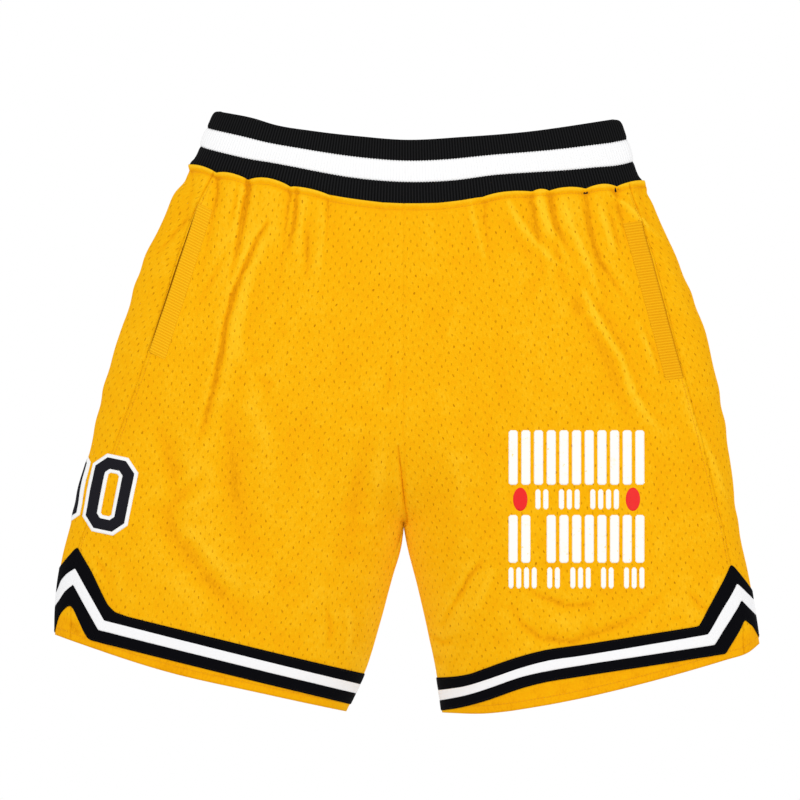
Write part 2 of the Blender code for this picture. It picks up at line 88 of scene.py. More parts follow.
# the side seam, from the waist through the pocket mouth to the hem (x, z)
SIDE_SEAM = {
    -1: ((-172, -30), (-187.5, -60), (-231.5, -192), (-262, -275), (-285, -340), (-296.5, -372), (-301, -420), (-302, -450)),
    1: ((199, -40), (212.5, -75), (250.5, -214), (270, -288), (285, -350), (292.5, -386), (302, -430), (304, -460)),
}
HIP_Z = -235.0
FLEX_SLOPE = math.radians(30)
WELT = {
    -1: ((-186, -59), (-230, -192), (-174, -65), (-216, -199)),
    1: ((211, -74), (249, -215), (195, -76), (233, -217)),
}
TAPE_EDGES = {
    -1: (((-310, -386), (-296, -366.8), (-282.6, -389), (-273.6, -408), (-268, -419), (-261.5, -425.3), (-250, -429.3), (-38, -481)),
         ((-314.6, -409), (-297.5, -386.3), (-271, -433), (-39, -491)),
         ((-314.8, -421), (-299.2, -400.8), (-276, -441.5), (-43, -499)),
         ((-316, -447), (-301, -418), (-286, -450), (-47, -509))),
    1: (((311, -406), (292, -382), (263, -438), (221, -444.6), (155, -454.9), (121, -459.9), (98, -466.2), (71.6, -475.6), (55, -481.5), (41, -483.6), (29, -484.5)),
         ((311, -416), (297, -400), (271, -445.5), (221, -453.9), (155, -464.6), (128, -468.5), (105, -474.6), (71.6, -486.3), (55, -491.6), (30, -495.8)),
         ((313.5, -430), (301, -415), (277, -454.9), (221, -463.2), (155, -473.2), (125, -478.3), (105, -482.9), (71.6, -494.6), (55, -499.9), (31, -505)),
         ((318, -449.5), (304.5, -432.5), (287, -463), (221, -473.2), (155, -483.2), (121, -488.9), (105, -493.2), (71.6, -505), (55, -509.8), (33, -514.6))),
}
# more places on those edges, where they curve down to the fold
TAPE_BENDS = {
    (-1, 1): ((-313.2, -404.4), (-310.7, -397.6), (-305.4, -391.6)),
    (-1, 2): ((-312.1, -414.9), (-306.9, -407.4)),
    (-1, 3): ((-314.4, -434.4), (-310.7, -425.4)),
    (1, 3): ((312.6, -438.9),),
}
# the edge that comes down to the hem itself at the fold
TAPE_TO_HEM = {(-1, 3)}
DIGIT_TILT = math.radians(11.5)


def curve(points):
    p = np.array(points, float)
    knots = np.concatenate([[0], np.cumsum(np.linalg.norm(np.diff(p, axis=0), axis=1))])
    knots /= knots[-1]
    slope = np.gradient(p, knots, axis=0)

    def at(u):
        u = np.clip(np.asarray(u, float), 0, 1)
        i = np.clip(np.searchsorted(knots, u, side="right") - 1, 0, len(knots) - 2)
        h = knots[i + 1] - knots[i]
        w = (u - knots[i]) / h
        w, h = w[..., None], h[..., None]
        return ((1 + 2 * w) * (1 - w) ** 2 * p[i] + w * (1 - w) ** 2 * h * slope[i]
                + w * w * (3 - 2 * w) * p[i + 1] + w * w * (w - 1) * h * slope[i + 1])

    return at


def waist_curve(points):
    p = np.array(points, float)
    whole = curve(p)
    u = np.linspace(0, 1, 401)
    x = whole(u)[:, 0]

    def at(a):
        a = np.asarray(a, float)
        want = np.where(a < 0, CENTRE_X + a * (CENTRE_X - x[0]), CENTRE_X + a * (x[-1] - CENTRE_X))
        return whole(np.interp(want, x, u))

    return at


seam_line, top_line = waist_curve(WAIST_SEAM), waist_curve(WAIST_TOP)
outer_line = {k: curve(v) for k, v in OUTER.items()}
inseam_line = {k: curve(v) for k, v in INSEAM.items()}
hem_line = {k: curve(v) for k, v in HEM.items()}
CENTRE_TOP = seam_line(0.0)
RISE = CENTRE_TOP[1] - CROTCH_Z
T_CROTCH = {k: RISE / (RISE + np.linalg.norm(np.diff(np.array(v, float), axis=0), axis=1).sum())
            for k, v in INSEAM.items()}


def inner_line(side, t):
    t = np.asarray(t, float)
    tc = T_CROTCH[side]
    up = np.clip(t / tc, 0, 1)[..., None]
    down = np.clip((t - tc) / (1 - tc), 0, 1)
    rise = (1 - up) * CENTRE_TOP + up * np.array([CENTRE_X, CROTCH_Z])
    return np.where((t < tc)[..., None], rise, inseam_line[side](down))


def flat_point(side, s, t):
    s, t = np.broadcast_arrays(np.asarray(s, float), np.asarray(t, float))
    a = side * (1 - s)
    top, bottom = seam_line(a), hem_line[side](s)
    outer, inner = outer_line[side](t), inner_line(side, t)
    s, t = s[..., None], t[..., None]
    corners = ((1 - s) * (1 - t) * seam_line(float(side)) + s * (1 - t) * CENTRE_TOP
               + (1 - s) * t * hem_line[side](0.0) + s * t * hem_line[side](1.0))
    return (1 - s) * outer + s * inner + (1 - t) * top + t * bottom - corners


def patch_of(side, x, z):
    s, t = np.full(np.shape(x), 0.4), np.full(np.shape(x), 0.5)
    goal, e = np.stack([np.asarray(x, float), np.asarray(z, float)], -1), 1e-4
    for _ in range(25):
        here = flat_point(side, s, t)
        ds = (flat_point(side, s + e, t) - flat_point(side, s - e, t)) / (2 * e)
        dt = (flat_point(side, s, t + e) - flat_point(side, s, t - e)) / (2 * e)
        det = ds[..., 0] * dt[..., 1] - ds[..., 1] * dt[..., 0]
        off = goal - here
        s = np.clip(s + (off[..., 0] * dt[..., 1] - off[..., 1] * dt[..., 0]) / det, 0, 1)
        t = np.clip(t + (ds[..., 0] * off[..., 1] - ds[..., 1] * off[..., 0]) / det, 0, 1)
    return s, t


def rounded(distance, width):
    return (1 - (1 - np.clip(distance / width, 0, 1)) ** 2) ** ROUNDNESS


def body_point(side, v, t):
    v, t = np.broadcast_arrays(np.asarray(v, float), np.asarray(t, float))
    s = (1 - np.cos(np.pi * np.abs(v))) / 2
    flat = flat_point(side, s, t)
    width = np.linalg.norm(inner_line(side, t) - outer_line[side](t), axis=-1)
    line = np.array(INSEAM[side][-1], float) - np.array([CENTRE_X, CROTCH_Z])
    line /= np.linalg.norm(line)
    away = flat - np.array([CENTRE_X, CROTCH_Z])
    along = np.clip(away @ line, 0, None)
    near_inseam = np.linalg.norm(away - along[..., None] * line, axis=-1)
    inseam_gap = (1 - s) * width
    blend = np.clip((t - T_CROTCH[side]) / 0.12, 0, 1)
    near = np.where(t > T_CROTCH[side], (1 - blend) * np.minimum(near_inseam, inseam_gap) + blend * inseam_gap, near_inseam)
    depth = np.where(v >= 0, -np.interp(t, DEPTH_T, DEPTH_FRONT), np.interp(t, DEPTH_T, DEPTH_BACK))
    y = depth * rounded(s * width, FOLD_WIDTH) * rounded(near, INSEAM_WIDTH)
    return np.stack([flat[..., 0], y, flat[..., 1]], -1)


def outward(side, v, t, e=0.03):
    ahead, behind = v + e, v - e
    wrap = t > T_CROTCH[side]
    ahead = np.where(wrap, np.where(ahead > 1, ahead - 2, ahead), np.clip(ahead, -1, 1))
    behind = np.where(wrap, np.where(behind < -1, behind + 2, behind), np.clip(behind, -1, 1))
    du = body_point(side, ahead, t) - body_point(side, behind, t)
    dw = body_point(side, v, t + 0.01) - body_point(side, v, t - 0.01)
    n = np.cross(du, dw) * side
    return n / (np.linalg.norm(n, axis=-1, keepdims=True) + 1e-12)


def v_of(q):
    q = np.clip(np.asarray(q, float), -1, 1)
    return np.sign(q) * np.arccos(1 - 2 * np.abs(q)) / np.pi


SEAM_TABLE = {}
for _side in (-1, 1):
    _p = curve(SIDE_SEAM[_side])(np.linspace(0, 1, 60))
    _s, _t = patch_of(_side, _p[:, 0], _p[:, 1])
    _order = np.argsort(_t)
    SEAM_TABLE[_side] = (_t[_order], _s[_order])


def side_seam_v(side, t):
    return v_of(np.interp(t, *SEAM_TABLE[side]))


# ------------------------------------------------------------------- folds in the cloth
def px(*pts):
    """Places read in the front view, 0.9 mm apart, as x, z in mm."""
    return np.array([((x - 406) * 0.9, (139 - y) * 0.9) for x, y in pts], float)


def smooth(x, a, b):
    w = np.clip((x - a) / (b - a), 0, 1)
    return w * w * (3 - 2 * w)


def hash_noise(x, z, seed, scale):
    """Smooth value noise, -1 to 1."""
    gx, gz = x / scale, z / scale
    ix, iz = np.floor(gx).astype(int), np.floor(gz).astype(int)
    fx, fz = gx - ix, gz - iz
    fx, fz = fx * fx * fx * (fx * (fx * 6 - 15) + 10), fz * fz * fz * (fz * (fz * 6 - 15) + 10)
    table = np.random.default_rng(seed).uniform(-1, 1, (64, 64))
    def at(i, j):
        return table[i % 64, j % 64]
    return ((at(ix, iz) * (1 - fx) + at(ix + 1, iz) * fx) * (1 - fz)
            + (at(ix, iz + 1) * (1 - fx) + at(ix + 1, iz + 1) * fx) * fz)


# (points, half width mm, height mm out of the cloth, lean): a lean of 1 makes the
# viewer's-left flank long and the right one steep
FOLDS = (
    # viewer's-left half
    (px((247, 178), (247, 190), (244, 204), (237, 248), (229, 284)), 3.2, -2.2, -0.6, 0.2),
    (px((270, 218), (257, 240), (243, 269), (233, 294), (226, 319), (220, 357), (213, 390), (205, 420), (197, 452)), 3.9, -2.7, -0.7, 0.34),
    (px((258, 250), (246, 290), (238, 336), (236, 368)), 9.0, 1.2, 0.3, 0.7),
    (px((297, 186), (296, 204), (294, 224), (287, 258)), 3.2, -1.9, -0.5, 0.3),
    (px((306, 210), (308, 246), (307, 282)), 5.4, -1.3, -0.2, 0.6),
    (px((322, 198), (324, 232), (320, 272)), 6.0, 0.9, 0.0, 0.4),
    (px((239, 184), (235, 206), (228, 230)), 3.0, -0.9, -0.3, 0.4),
    (px((196, 210), (176, 231), (154, 257)), 3.0, -1.0, -0.2, 0.5),
    (px((236, 240), (222, 262), (206, 290), (196, 316)), 5.0, -0.6, -0.3, 0.5),
    (px((160, 418), (168, 452), (180, 494)), 11.0, -2.0, -0.1, 0.6),
    (px((178, 486), (170, 516), (178, 544), (194, 572)), 14.0, -1.5, 0.0, 0.5),
    (px((182, 540), (206, 574), (230, 602), (252, 630)), 15.0, -2.6, 0.0, 0.5),
    (px((168, 508), (200, 540), (222, 568), (246, 598)), 8.0, 0.9, 0.3, 0.5),
    (px((172, 502), (190, 490), (210, 472)), 7.0, -0.9, 0.0, 0.5),
    (px((226, 398), (232, 450), (240, 510), (247, 562)), 19.0, -2.9, -0.1, 0.5),
    (px((241, 378), (262, 430), (277, 470)), 11.0, 1.2, 0.0, 0.5),
    (px((254, 376), (277, 388)), 7.0, -0.7, 0.0, 0.5),
    (px((364, 440), (357, 500), (350, 566)), 12.0, -1.5, -0.2, 0.5),
    (px((384, 404), (382, 460), (373, 530)), 9.0, 0.9, 0.0, 0.4),
    (px((392, 346), (390, 376), (387, 410)), 6.0, -1.0, 0.0, 0.5),
    (px((336, 426), (356, 430), (382, 424)), 7.0, 0.6, 0.0, 0.5),
    (px((326, 602), (331, 624), (329, 650)), 4.2, -0.8, -0.3, 0.5),
    (px((347, 600), (351, 630), (347, 656)), 4.6, 0.8, 0.0, 0.5),
    (px((94, 554), (107, 575)), 4.2, -0.9, 0.0, 0.5),
    (px((118, 556), (122, 590), (138, 610)), 8.0, 0.7, 0.0, 0.5),
    (px((60, 616), (70, 622), (80, 634)), 4.0, -0.6, 0.0, 0.5),
    (px((300, 430), (310, 480), (306, 540)), 20.0, 0.5, 0.0, 0.5),
    # viewer's-right half
    (px((506, 199), (520, 224), (534, 242), (552, 260), (575, 276)), 4.8, 1.6, 0.5, 0.4),
    (px((535, 195), (546, 220), (557, 240), (572, 270)), 4.0, 1.3, 0.3, 0.4),
    (px((551, 198), (556, 224), (566, 250)), 3.0, -1.0, 0.0, 0.4),
    (px((560, 195), (573, 230), (588, 264), (602, 306)), 4.4, 1.3, 0.4, 0.5),
    (px((582, 204), (590, 236), (600, 262), (612, 280), (632, 312)), 3.4, -1.2, -0.2, 0.4),
    (px((580, 284), (599, 323), (620, 357), (632, 392), (646, 416), (670, 440)), 4.8, 1.9, 0.5, 0.4),
    (px((598, 205), (607, 232), (616, 258)), 3.4, 1.1, 0.2, 0.5),
    (px((606, 202), (614, 228), (621, 256)), 3.0, -0.8, 0.0, 0.5),
    (px((599, 188), (626, 206), (645, 224), (668, 244)), 4.0, 1.9, 0.4, 0.5),
    (px((636, 316), (647, 344), (661, 380)), 4.0, 1.2, 0.3, 0.5),
    (px((634, 310), (652, 350), (665, 386)), 3.4, -0.7, 0.0, 0.5),
    (px((680, 378), (695, 428), (711, 458), (726, 498), (736, 532)), 6.4, 1.5, 0.3, 0.5),
    (px((522, 281), (542, 289)), 12.0, -0.7, 0.0, 0.5),
    (px((570, 298), (585, 315)), 8.0, -0.8, 0.0, 0.5),
    (px((420, 311), (452, 319)), 16.0, -0.8, 0.0, 0.5),
    (px((469, 196), (476, 230), (488, 270)), 4.4, 0.9, 0.2, 0.4),
    (px((484, 558), (470, 574), (458, 596), (440, 628)), 4.0, -1.2, -0.3, 0.4),
    (px((496, 564), (484, 588), (472, 614)), 6.4, 0.9, 0.2, 0.5),
    (px((524, 586), (546, 598), (566, 604), (598, 603)), 4.4, -1.1, 0.0, 0.5),
    (px((508, 600), (522, 624), (540, 637), (572, 641), (606, 629), (640, 614), (674, 580)), 6.2, -1.2, 0.0, 0.4),
    (px((536, 614), (566, 622), (596, 616)), 7.0, 0.8, 0.0, 0.5),
    (px((429, 634), (442, 642), (454, 640)), 3.6, -0.8, 0.0, 0.5),
    (px((427, 651), (444, 664)), 3.6, -0.7, 0.0, 0.5),
    (px((686, 588), (700, 606), (716, 615)), 5.0, -0.9, 0.0, 0.5),
    (px((712, 594), (717, 574)), 5.4, 0.8, 0.0, 0.5),
    (px((440, 386), (452, 440), (462, 500), (464, 570)), 18.0, 1.1, 0.0, 0.4),
    (px((424, 192), (430, 240), (436, 278)), 10.0, 0.7, 0.0, 0.3),
    (px((656, 246), (676, 280), (696, 336)), 7.0, 0.8, 0.0, 0.4),
    (px((612, 420), (624, 500), (650, 560)), 20.0, 0.5, 0.0, 0.5),
)


CROTCH_FOLD = px((398, 444), (401, 470), (404, 500), (407, 526))


def along_line(x, z, pts):
    """Signed distance to a polyline (+ to the viewer's right as it runs down) and share along it."""
    seg = np.diff(pts, axis=0)
    length = np.linalg.norm(seg, axis=1)
    start = np.concatenate([[0], np.cumsum(length)])
    best = np.full(x.shape, 1e9)
    sign = np.zeros(x.shape)
    share = np.zeros(x.shape)
    for i in range(len(seg)):
        rx, rz = x - pts[i, 0], z - pts[i, 1]
        d = seg[i] / length[i]
        a = np.clip(rx * d[0] + rz * d[1], 0, length[i])
        ox, oz = rx - a * d[0], rz - a * d[1]
        dist = np.hypot(ox, oz)
        closer = dist < best
        best = np.where(closer, dist, best)
        sign = np.where(closer, np.sign(ox * -d[1] + oz * d[0]), sign)
        share = np.where(closer, (start[i] + a) / start[-1], share)
    return best * sign, share


def fold_height(x, z):
    """Height of the drawn folds at x, z of the front view."""
    h = np.zeros(x.shape)
    for pts, width, amp, lean, peak in FOLDS:
        low, high = pts.min(0) - 4 * width, pts.max(0) + 4 * width
        m = (x > low[0]) & (x < high[0]) & (z > low[1]) & (z < high[1])
        if not m.any():
            continue
        d, share = along_line(x[m], z[m], pts)
        w = width * np.where(d > 0, 1 - 0.35 * lean, 1 + 0.6 * lean)
        w = w * (0.85 + 0.3 * share)
        crease = np.where(width > 6.5, 0.12, 0.5 if amp < 0 else 0.35)
        core = (1 - crease) * np.exp(-(d / w) ** 2) + crease * np.exp(-np.abs(d) / (0.5 * w))
        # the cloth swells a little beside a fold, on its long flank
        core = core - 0.16 * np.exp(-((np.abs(d) - 2.1 * w) / (1.3 * w)) ** 2) * (d * lean <= 0)
        taper = np.sin(np.pi * np.clip(share, 0.0, 1.0) ** (math.log(0.5) / math.log(peak))) ** 0.8
        h[m] += amp * core * taper
    return h


# tucks of the gathered waist: x of each tuck in the front view, and how deep
TUCKS_FRONT = np.array([-193, -170, -141.5, -103, -68, -20, 26, 68, 113, 128, 161, 189, 212], float)
TUCK_HEIGHT = np.array([2.0, 3.4, 4.0, 2.0, 0.5, 0.2, 0.4, 1.8, 2.1, 2.8, 3.0, 2.2])
TUCKS_BACK = np.array([-193, -172, -150, -125, -103, -76, -54, -28, -4, 22, 44, 70, 92, 118, 141, 166, 189, 212], float)
TUCK_HEIGHT_BACK = 1.35 * np.array([2.0, 2.6, 2.4, 2.8, 2.2, 2.6, 2.2, 2.5, 2.2, 2.6, 2.1, 2.7, 2.3, 2.6, 2.9, 2.3, 2.0])


def tucks(x, z, tucks_x, heights):
    """0 in a tuck to 1 between two, times the height, with the tucks fanning out downwards."""
    drop = np.clip(-50 - z, 0, None)
    k = 0.0012
    xw = (x - CENTRE_X) / (1 + k * drop) + CENTRE_X
    i = np.clip(np.searchsorted(tucks_x, xw) - 1, 0, len(heights) - 1)
    share = (xw - tucks_x[i]) / (tucks_x[i + 1] - tucks_x[i])
    return heights[i], np.sin(np.pi * np.clip(share, 0, 1))


def cloth_height(side, v, t):
    """How far the cloth stands out from the frame's surface."""
    s = (1 - np.cos(np.pi * np.abs(v))) / 2
    flat = flat_point(side, s, t)
    x, z = flat[..., 0], flat[..., 1]
    front = v >= 0
    hf, bf = tucks(x, z, TUCKS_FRONT, TUCK_HEIGHT)
    hb, bb = tucks(x, z, TUCKS_BACK, TUCK_HEIGHT_BACK)
    th, tb = np.where(front, hf, hb), np.where(front, bf, bb)
    fall = np.exp(-(t / 0.13) ** 1.5) * (1 - 0.25 * np.exp(-(t / 0.012) ** 2))
    # the tucks are sharper towards the viewer's left
    gather = th * (tb ** np.where(x > 0, 1.0, 0.75) - 0.45) * fall
    fold = np.where(front, fold_height(x, z), 0)
    # the back: long soft folds that fan out of the seat, and two under it
    bx = x + 9 * np.sin(z / 70.0)
    back = (1.7 * np.sin(bx / 21.0 + 0.6 * side) * smooth(t, 0.10, 0.3) * (1 - smooth(t, 0.85, 1.0))
            + 1.9 * np.exp(-((z + 300 + 0.25 * np.abs(x)) / 10.0) ** 2) * smooth(s, 0.2, 0.45)
            - 1.6 * np.exp(-((z + 322 + 0.28 * np.abs(x)) / 9.0) ** 2) * smooth(s, 0.25, 0.5))
    rough = (0.75 * hash_noise(x + 37 * front, z * 0.6, 11, 58.0)
             + 0.36 * hash_noise(x, z + 91 * front, 12, 26.0)
             + 0.17 * hash_noise(x + 13 * front, z, 13, 11.0)
             + 0.07 * hash_noise(x + 5 * front, z, 14, 5.0))
    rough = rough * (0.35 + 0.65 * smooth(t, 0.0, 0.12))
    edge = smooth(np.abs(v), 0.0, 0.16)
    inner = 1 - smooth(np.abs(v), 0.93, 1.0)
    # seams draw the cloth in a little
    seam = -(0.25 + 0.45 * np.exp(-(t / 0.10) ** 4)) * np.exp(-((v - side_seam_v(side, t)) / 0.006) ** 2)
    # the centre seam runs into the deep fold above the crotch
    dip, share = along_line(x, z, CROTCH_FOLD)
    deep = -3.4 * np.exp(-np.abs(dip) / 2.2) * np.sin(np.pi * np.clip(share, 0, 1)) ** 0.5 * (t < T_CROTCH[side] + 0.01)
    centre = np.where(t < T_CROTCH[side], -0.55 * np.exp(-(((1 - s) * 230) / 2.0) ** 2), 0) + np.where(front, deep, 0)
    # a rolled edge at the waist, and the groove of the stitch line below it
    uneven = hash_noise(x, z * 0 + 5.0 * front, 15, 24.0)
    raised = 0.55 + 0.45 * smooth(th, 0.5, 2.2)
    lip = raised * ((2.6 + 0.5 * uneven) * np.exp(-(t / 0.0066) ** 2)
                    - (0.13 + 0.09 * uneven) * np.exp(-((t - 0.0110) / 0.0026) ** 2))
    return (gather * (0.3 + 0.7 * edge) + (fold + np.where(front, 0, back)) * edge * (0.25 + 0.75 * inner)
            + rough * (0.3 + 0.7 * edge) * (0.3 + 0.7 * inner) + seam + centre + lip)


NV, NT = 521, 420
GRID_V = np.linspace(-1, 1, NV)
# finer towards the waist
_w = np.linspace(0, 1, NT)
GRID_T = 0.72 * _w + 0.28 * _w ** 2
SURFACE, NORMAL = {}, {}


def normals_of(p, side, t):
    """Normals of the grid p[v, t]; below the crotch the loop is closed."""
    du = np.gradient(p, axis=0)
    wrap = t > T_CROTCH[side]
    du[0, wrap] = (p[1, wrap] - p[-2, wrap]) / 2
    du[-1, wrap] = (p[1, wrap] - p[-2, wrap]) / 2
    dw = np.gradient(p, axis=1)
    n = np.cross(du, dw) * side
    return n / (np.linalg.norm(n, axis=-1, keepdims=True) + 1e-9)


# painted shading of the cloth: below 0.5 paints shade in its creases, above 0.5 paints highlight on its ridges
PAINTED_SHADING = {}


def blurred(a, times, wrap=False):
    for _ in range(times):
        b = np.pad(a, 1, mode="edge")
        a = (b[1:-1, 1:-1] * 2 + b[:-2, 1:-1] + b[2:, 1:-1] + b[1:-1, :-2] + b[1:-1, 2:]) / 6
    return a


def painted_shading_of(h):
    """Painted shading: 0.5 on flat cloth, below in creases for painted shade and above on ridges for painted highlight.
    """
    fine = h - blurred(h, 30)
    broad = h - blurred(h, 240)
    return np.clip(0.5 + 0.62 * fine / 1.0 + 0.22 * broad / 1.8, 0, 1)


for side in (-1, 1):
    V, T = np.meshgrid(GRID_V, GRID_T, indexing="ij")
    base = body_point(side, V, T)
    n = outward(side, V, np.clip(T, 0.012, 0.988))
    h = cloth_height(side, V, T)
    h[0, GRID_T > T_CROTCH[side]] = h[-1, GRID_T > T_CROTCH[side]]
    p = base + n * h[..., None]
    # tucks push the cloth's top edge up over the band
    # the cloth between the legs is shaded by them; painted light here keeps it from looking darker
    PAINTED_SHADING[side] = painted_shading_of(h) + 0.40 * np.exp(-((1 - np.abs(V)) / 0.15) ** 2) * smooth(T, T_CROTCH[side] - 0.06, T_CROTCH[side] + 0.04)
    x = base[..., 0]
    hf, bf = tucks(x, base[..., 2], TUCKS_FRONT, TUCK_HEIGHT)
    hb, bb = tucks(x, base[..., 2], TUCKS_BACK, TUCK_HEIGHT_BACK)
    lift = np.where(V >= 0, hf * (bf ** 0.7 - 0.35), hb * (bb ** 0.7 - 0.35))
    p[..., 2] += lift * 0.95 * np.exp(-(T / 0.035) ** 2)
    # the outer folds lie flat and a little crumpled
    t_mm = T * 470.0
    crumple = 0.55 * np.sin(t_mm / 7.3 + 1.1 * np.sin(t_mm / 19.0) + side) + 0.5 * np.sin(t_mm / 17.0 + 2.0 * side)
    p[..., 0] -= side * ((1.55 if side < 0 else 1.25) + crumple * smooth(T, 0.0, 0.05) * (1 - smooth(T, 0.7, 0.8))) * np.exp(-(V / 0.13) ** 2)
    # and below the band the viewer's-left one is drawn in, the other stands out
    shoulder = (1.8 * np.exp(-(T / 0.010) ** 2) - 2.6 * np.exp(-((T - 0.042) / 0.018) ** 2) if side < 0
                else 3.2 * np.exp(-((T - 0.012) / 0.012) ** 2))
    p[..., 0] += side * shoulder * np.exp(-(V / 0.10) ** 2)
    above = GRID_T <= T_CROTCH[side]
    p[0, above, 0] = p[-1, above, 0] = CENTRE_X
    SURFACE[side] = p
    NORMAL[side] = normals_of(p, side, GRID_T)
    for end in (0, -1):
        n_ = NORMAL[side][end, above]
        n_[:, 0] *= 0.15
        NORMAL[side][end, above] = n_ / np.linalg.norm(n_, axis=1, keepdims=True)


def sample(side, v, t, off=0.0):
    """Cloth point and normal at v, t, by interpolation on the grid."""
    v, t = np.broadcast_arrays(np.asarray(v, float), np.asarray(t, float))
    v = np.where(v > 1, v - 2, np.where(v < -1, v + 2, v))
    gi = np.clip((v + 1) / 2 * (NV - 1), 0, NV - 1 - 1e-9)
    gj = np.clip(np.interp(t, GRID_T, np.arange(NT)), 0, NT - 1 - 1e-9)
    i, j = gi.astype(int), gj.astype(int)
    fi, fj = (gi - i)[..., None], (gj - j)[..., None]

    def mix(a):
        return ((a[i, j] * (1 - fi) + a[i + 1, j] * fi) * (1 - fj)
                + (a[i, j + 1] * (1 - fi) + a[i + 1, j + 1] * fi) * fj)

    p, n = mix(SURFACE[side]), mix(NORMAL[side])
    n = n / (np.linalg.norm(n, axis=-1, keepdims=True) + 1e-9)
    return p + n * (np.asarray(off)[..., None] if np.ndim(off) else off), n


def painted_shading_at(side, v, t):
    v, t = np.broadcast_arrays(np.asarray(v, float), np.asarray(t, float))
    gi = np.clip((v + 1) / 2 * (NV - 1), 0, NV - 1 - 1e-9)
    gj = np.clip(np.interp(t, GRID_T, np.arange(NT)), 0, NT - 1 - 1e-9)
    return PAINTED_SHADING[side][gi.round().astype(int), gj.round().astype(int)]


# ------------------------------------------------------------------------- materials
def srgb(*c):
    return tuple(((x / 255 + 0.055) / 1.055) ** 2.4 if x > 10 else x / 255 / 12.92 for x in c) + (1.0,)


class Nodes:
    """A short way to write a node tree."""

    def __init__(self, name, rough, sheen=0.0, sheen_rough=0.5, spec=0.3, sheen_tint=None):
        self.mat = bpy.data.materials.new(name)
        self.mat.use_nodes = True
        self.tree = self.mat.node_tree
        self.bsdf = self.tree.nodes["Principled BSDF"]
        self.bsdf.inputs["Roughness"].default_value = rough
        self.bsdf.inputs["Specular IOR Level"].default_value = spec
        self.bsdf.inputs["Sheen Weight"].default_value = sheen
        self.bsdf.inputs["Sheen Roughness"].default_value = sheen_rough
        if sheen_tint:
            self.bsdf.inputs["Sheen Tint"].default_value = sheen_tint
        uv = self.tree.nodes.new("ShaderNodeUVMap")
        uv.uv_map = "cloth"
        self.uv = uv.outputs["UV"]
        split = self.tree.nodes.new("ShaderNodeSeparateXYZ")
        self.tree.links.new(self.uv, split.inputs[0])
        self.u, self.w = split.outputs[0], split.outputs[1]

    def zone(self):
        """(painted fold shading, share of the way down) from the piece's second map."""
        uv = self.tree.nodes.new("ShaderNodeUVMap")
        uv.uv_map = "zone"
        split = self.tree.nodes.new("ShaderNodeSeparateXYZ")
        self.tree.links.new(uv.outputs["UV"], split.inputs[0])
        return split.outputs[0], split.outputs[1]

    def math(self, op, a, b=None, c=None, clamp=False):
        n = self.tree.nodes.new("ShaderNodeMath")
        n.operation = op
        n.use_clamp = clamp
        for k, val in enumerate((a, b, c)):
            if val is None:
                continue
            if isinstance(val, (int, float)):
                n.inputs[k].default_value = val
            else:
                self.tree.links.new(val, n.inputs[k])
        return n.outputs[0]

    def noise(self, scale, detail=2.0, rough=0.5, vector=None, stretch=None):
        n = self.tree.nodes.new("ShaderNodeTexNoise")
        n.inputs["Scale"].default_value = scale
        n.inputs["Detail"].default_value = detail
        n.inputs["Roughness"].default_value = rough
        vec = vector or self.uv
        if stretch:
            m = self.tree.nodes.new("ShaderNodeMapping")
            m.inputs["Scale"].default_value = stretch
            self.tree.links.new(vec, m.inputs["Vector"])
            vec = m.outputs[0]
        self.tree.links.new(vec, n.inputs["Vector"])
        return n.outputs["Fac"]

    def ramp(self, value, stops):
        n = self.tree.nodes.new("ShaderNodeValToRGB")
        el = n.color_ramp.elements
        el[0].position, el[0].color = stops[0]
        el[1].position, el[1].color = stops[-1]
        for pos, col in stops[1:-1]:
            e = el.new(pos)
            e.color = col
        self.tree.links.new(value, n.inputs[0])
        return n.outputs[0]

    def mix(self, fac, a, b):
        n = self.tree.nodes.new("ShaderNodeMix")
        n.data_type = "RGBA"
        for key, val in ((0, fac), (6, a), (7, b)):
            if isinstance(val, (int, float, tuple)):
                n.inputs[key].default_value = val
            else:
                self.tree.links.new(val, n.inputs[key])
        return n.outputs[2]

    def wave(self, coord, pitch):
        """1 on the crests, 0 in the troughs, one crest each pitch millimetres."""
        return self.math("MULTIPLY_ADD", self.math("COSINE", self.math("MULTIPLY", coord, 2 * math.pi / pitch)), 0.5, 0.5)

    def finish(self, colour, height=None, distance=0.3, strength=0.6, rough=None):
        if isinstance(colour, tuple):
            self.bsdf.inputs["Base Color"].default_value = colour
        else:
            self.tree.links.new(colour, self.bsdf.inputs["Base Color"])
        if height is not None:
            b = self.tree.nodes.new("ShaderNodeBump")
            b.inputs["Distance"].default_value = distance * MM
            b.inputs["Strength"].default_value = strength
            self.tree.links.new(height, b.inputs["Height"])
            self.tree.links.new(b.outputs[0], self.bsdf.inputs["Normal"])
        if rough is not None:
            self.tree.links.new(rough, self.bsdf.inputs["Roughness"])
        return self.mat


# the darker and lighter golds give the cloth's random tone and also its painted crease shade and painted ridge
# highlight
GOLD = srgb(247, 179, 5)
GOLD_DEEP = srgb(246, 171, 4)
GOLD_DARK = srgb(222, 144, 0)
GOLD_LIGHT = srgb(255, 199, 34)
# the eyelets are real holes; their dark colour is painted shade of the cloth seen through them
HOLE_SHADE = srgb(188, 118, 0)


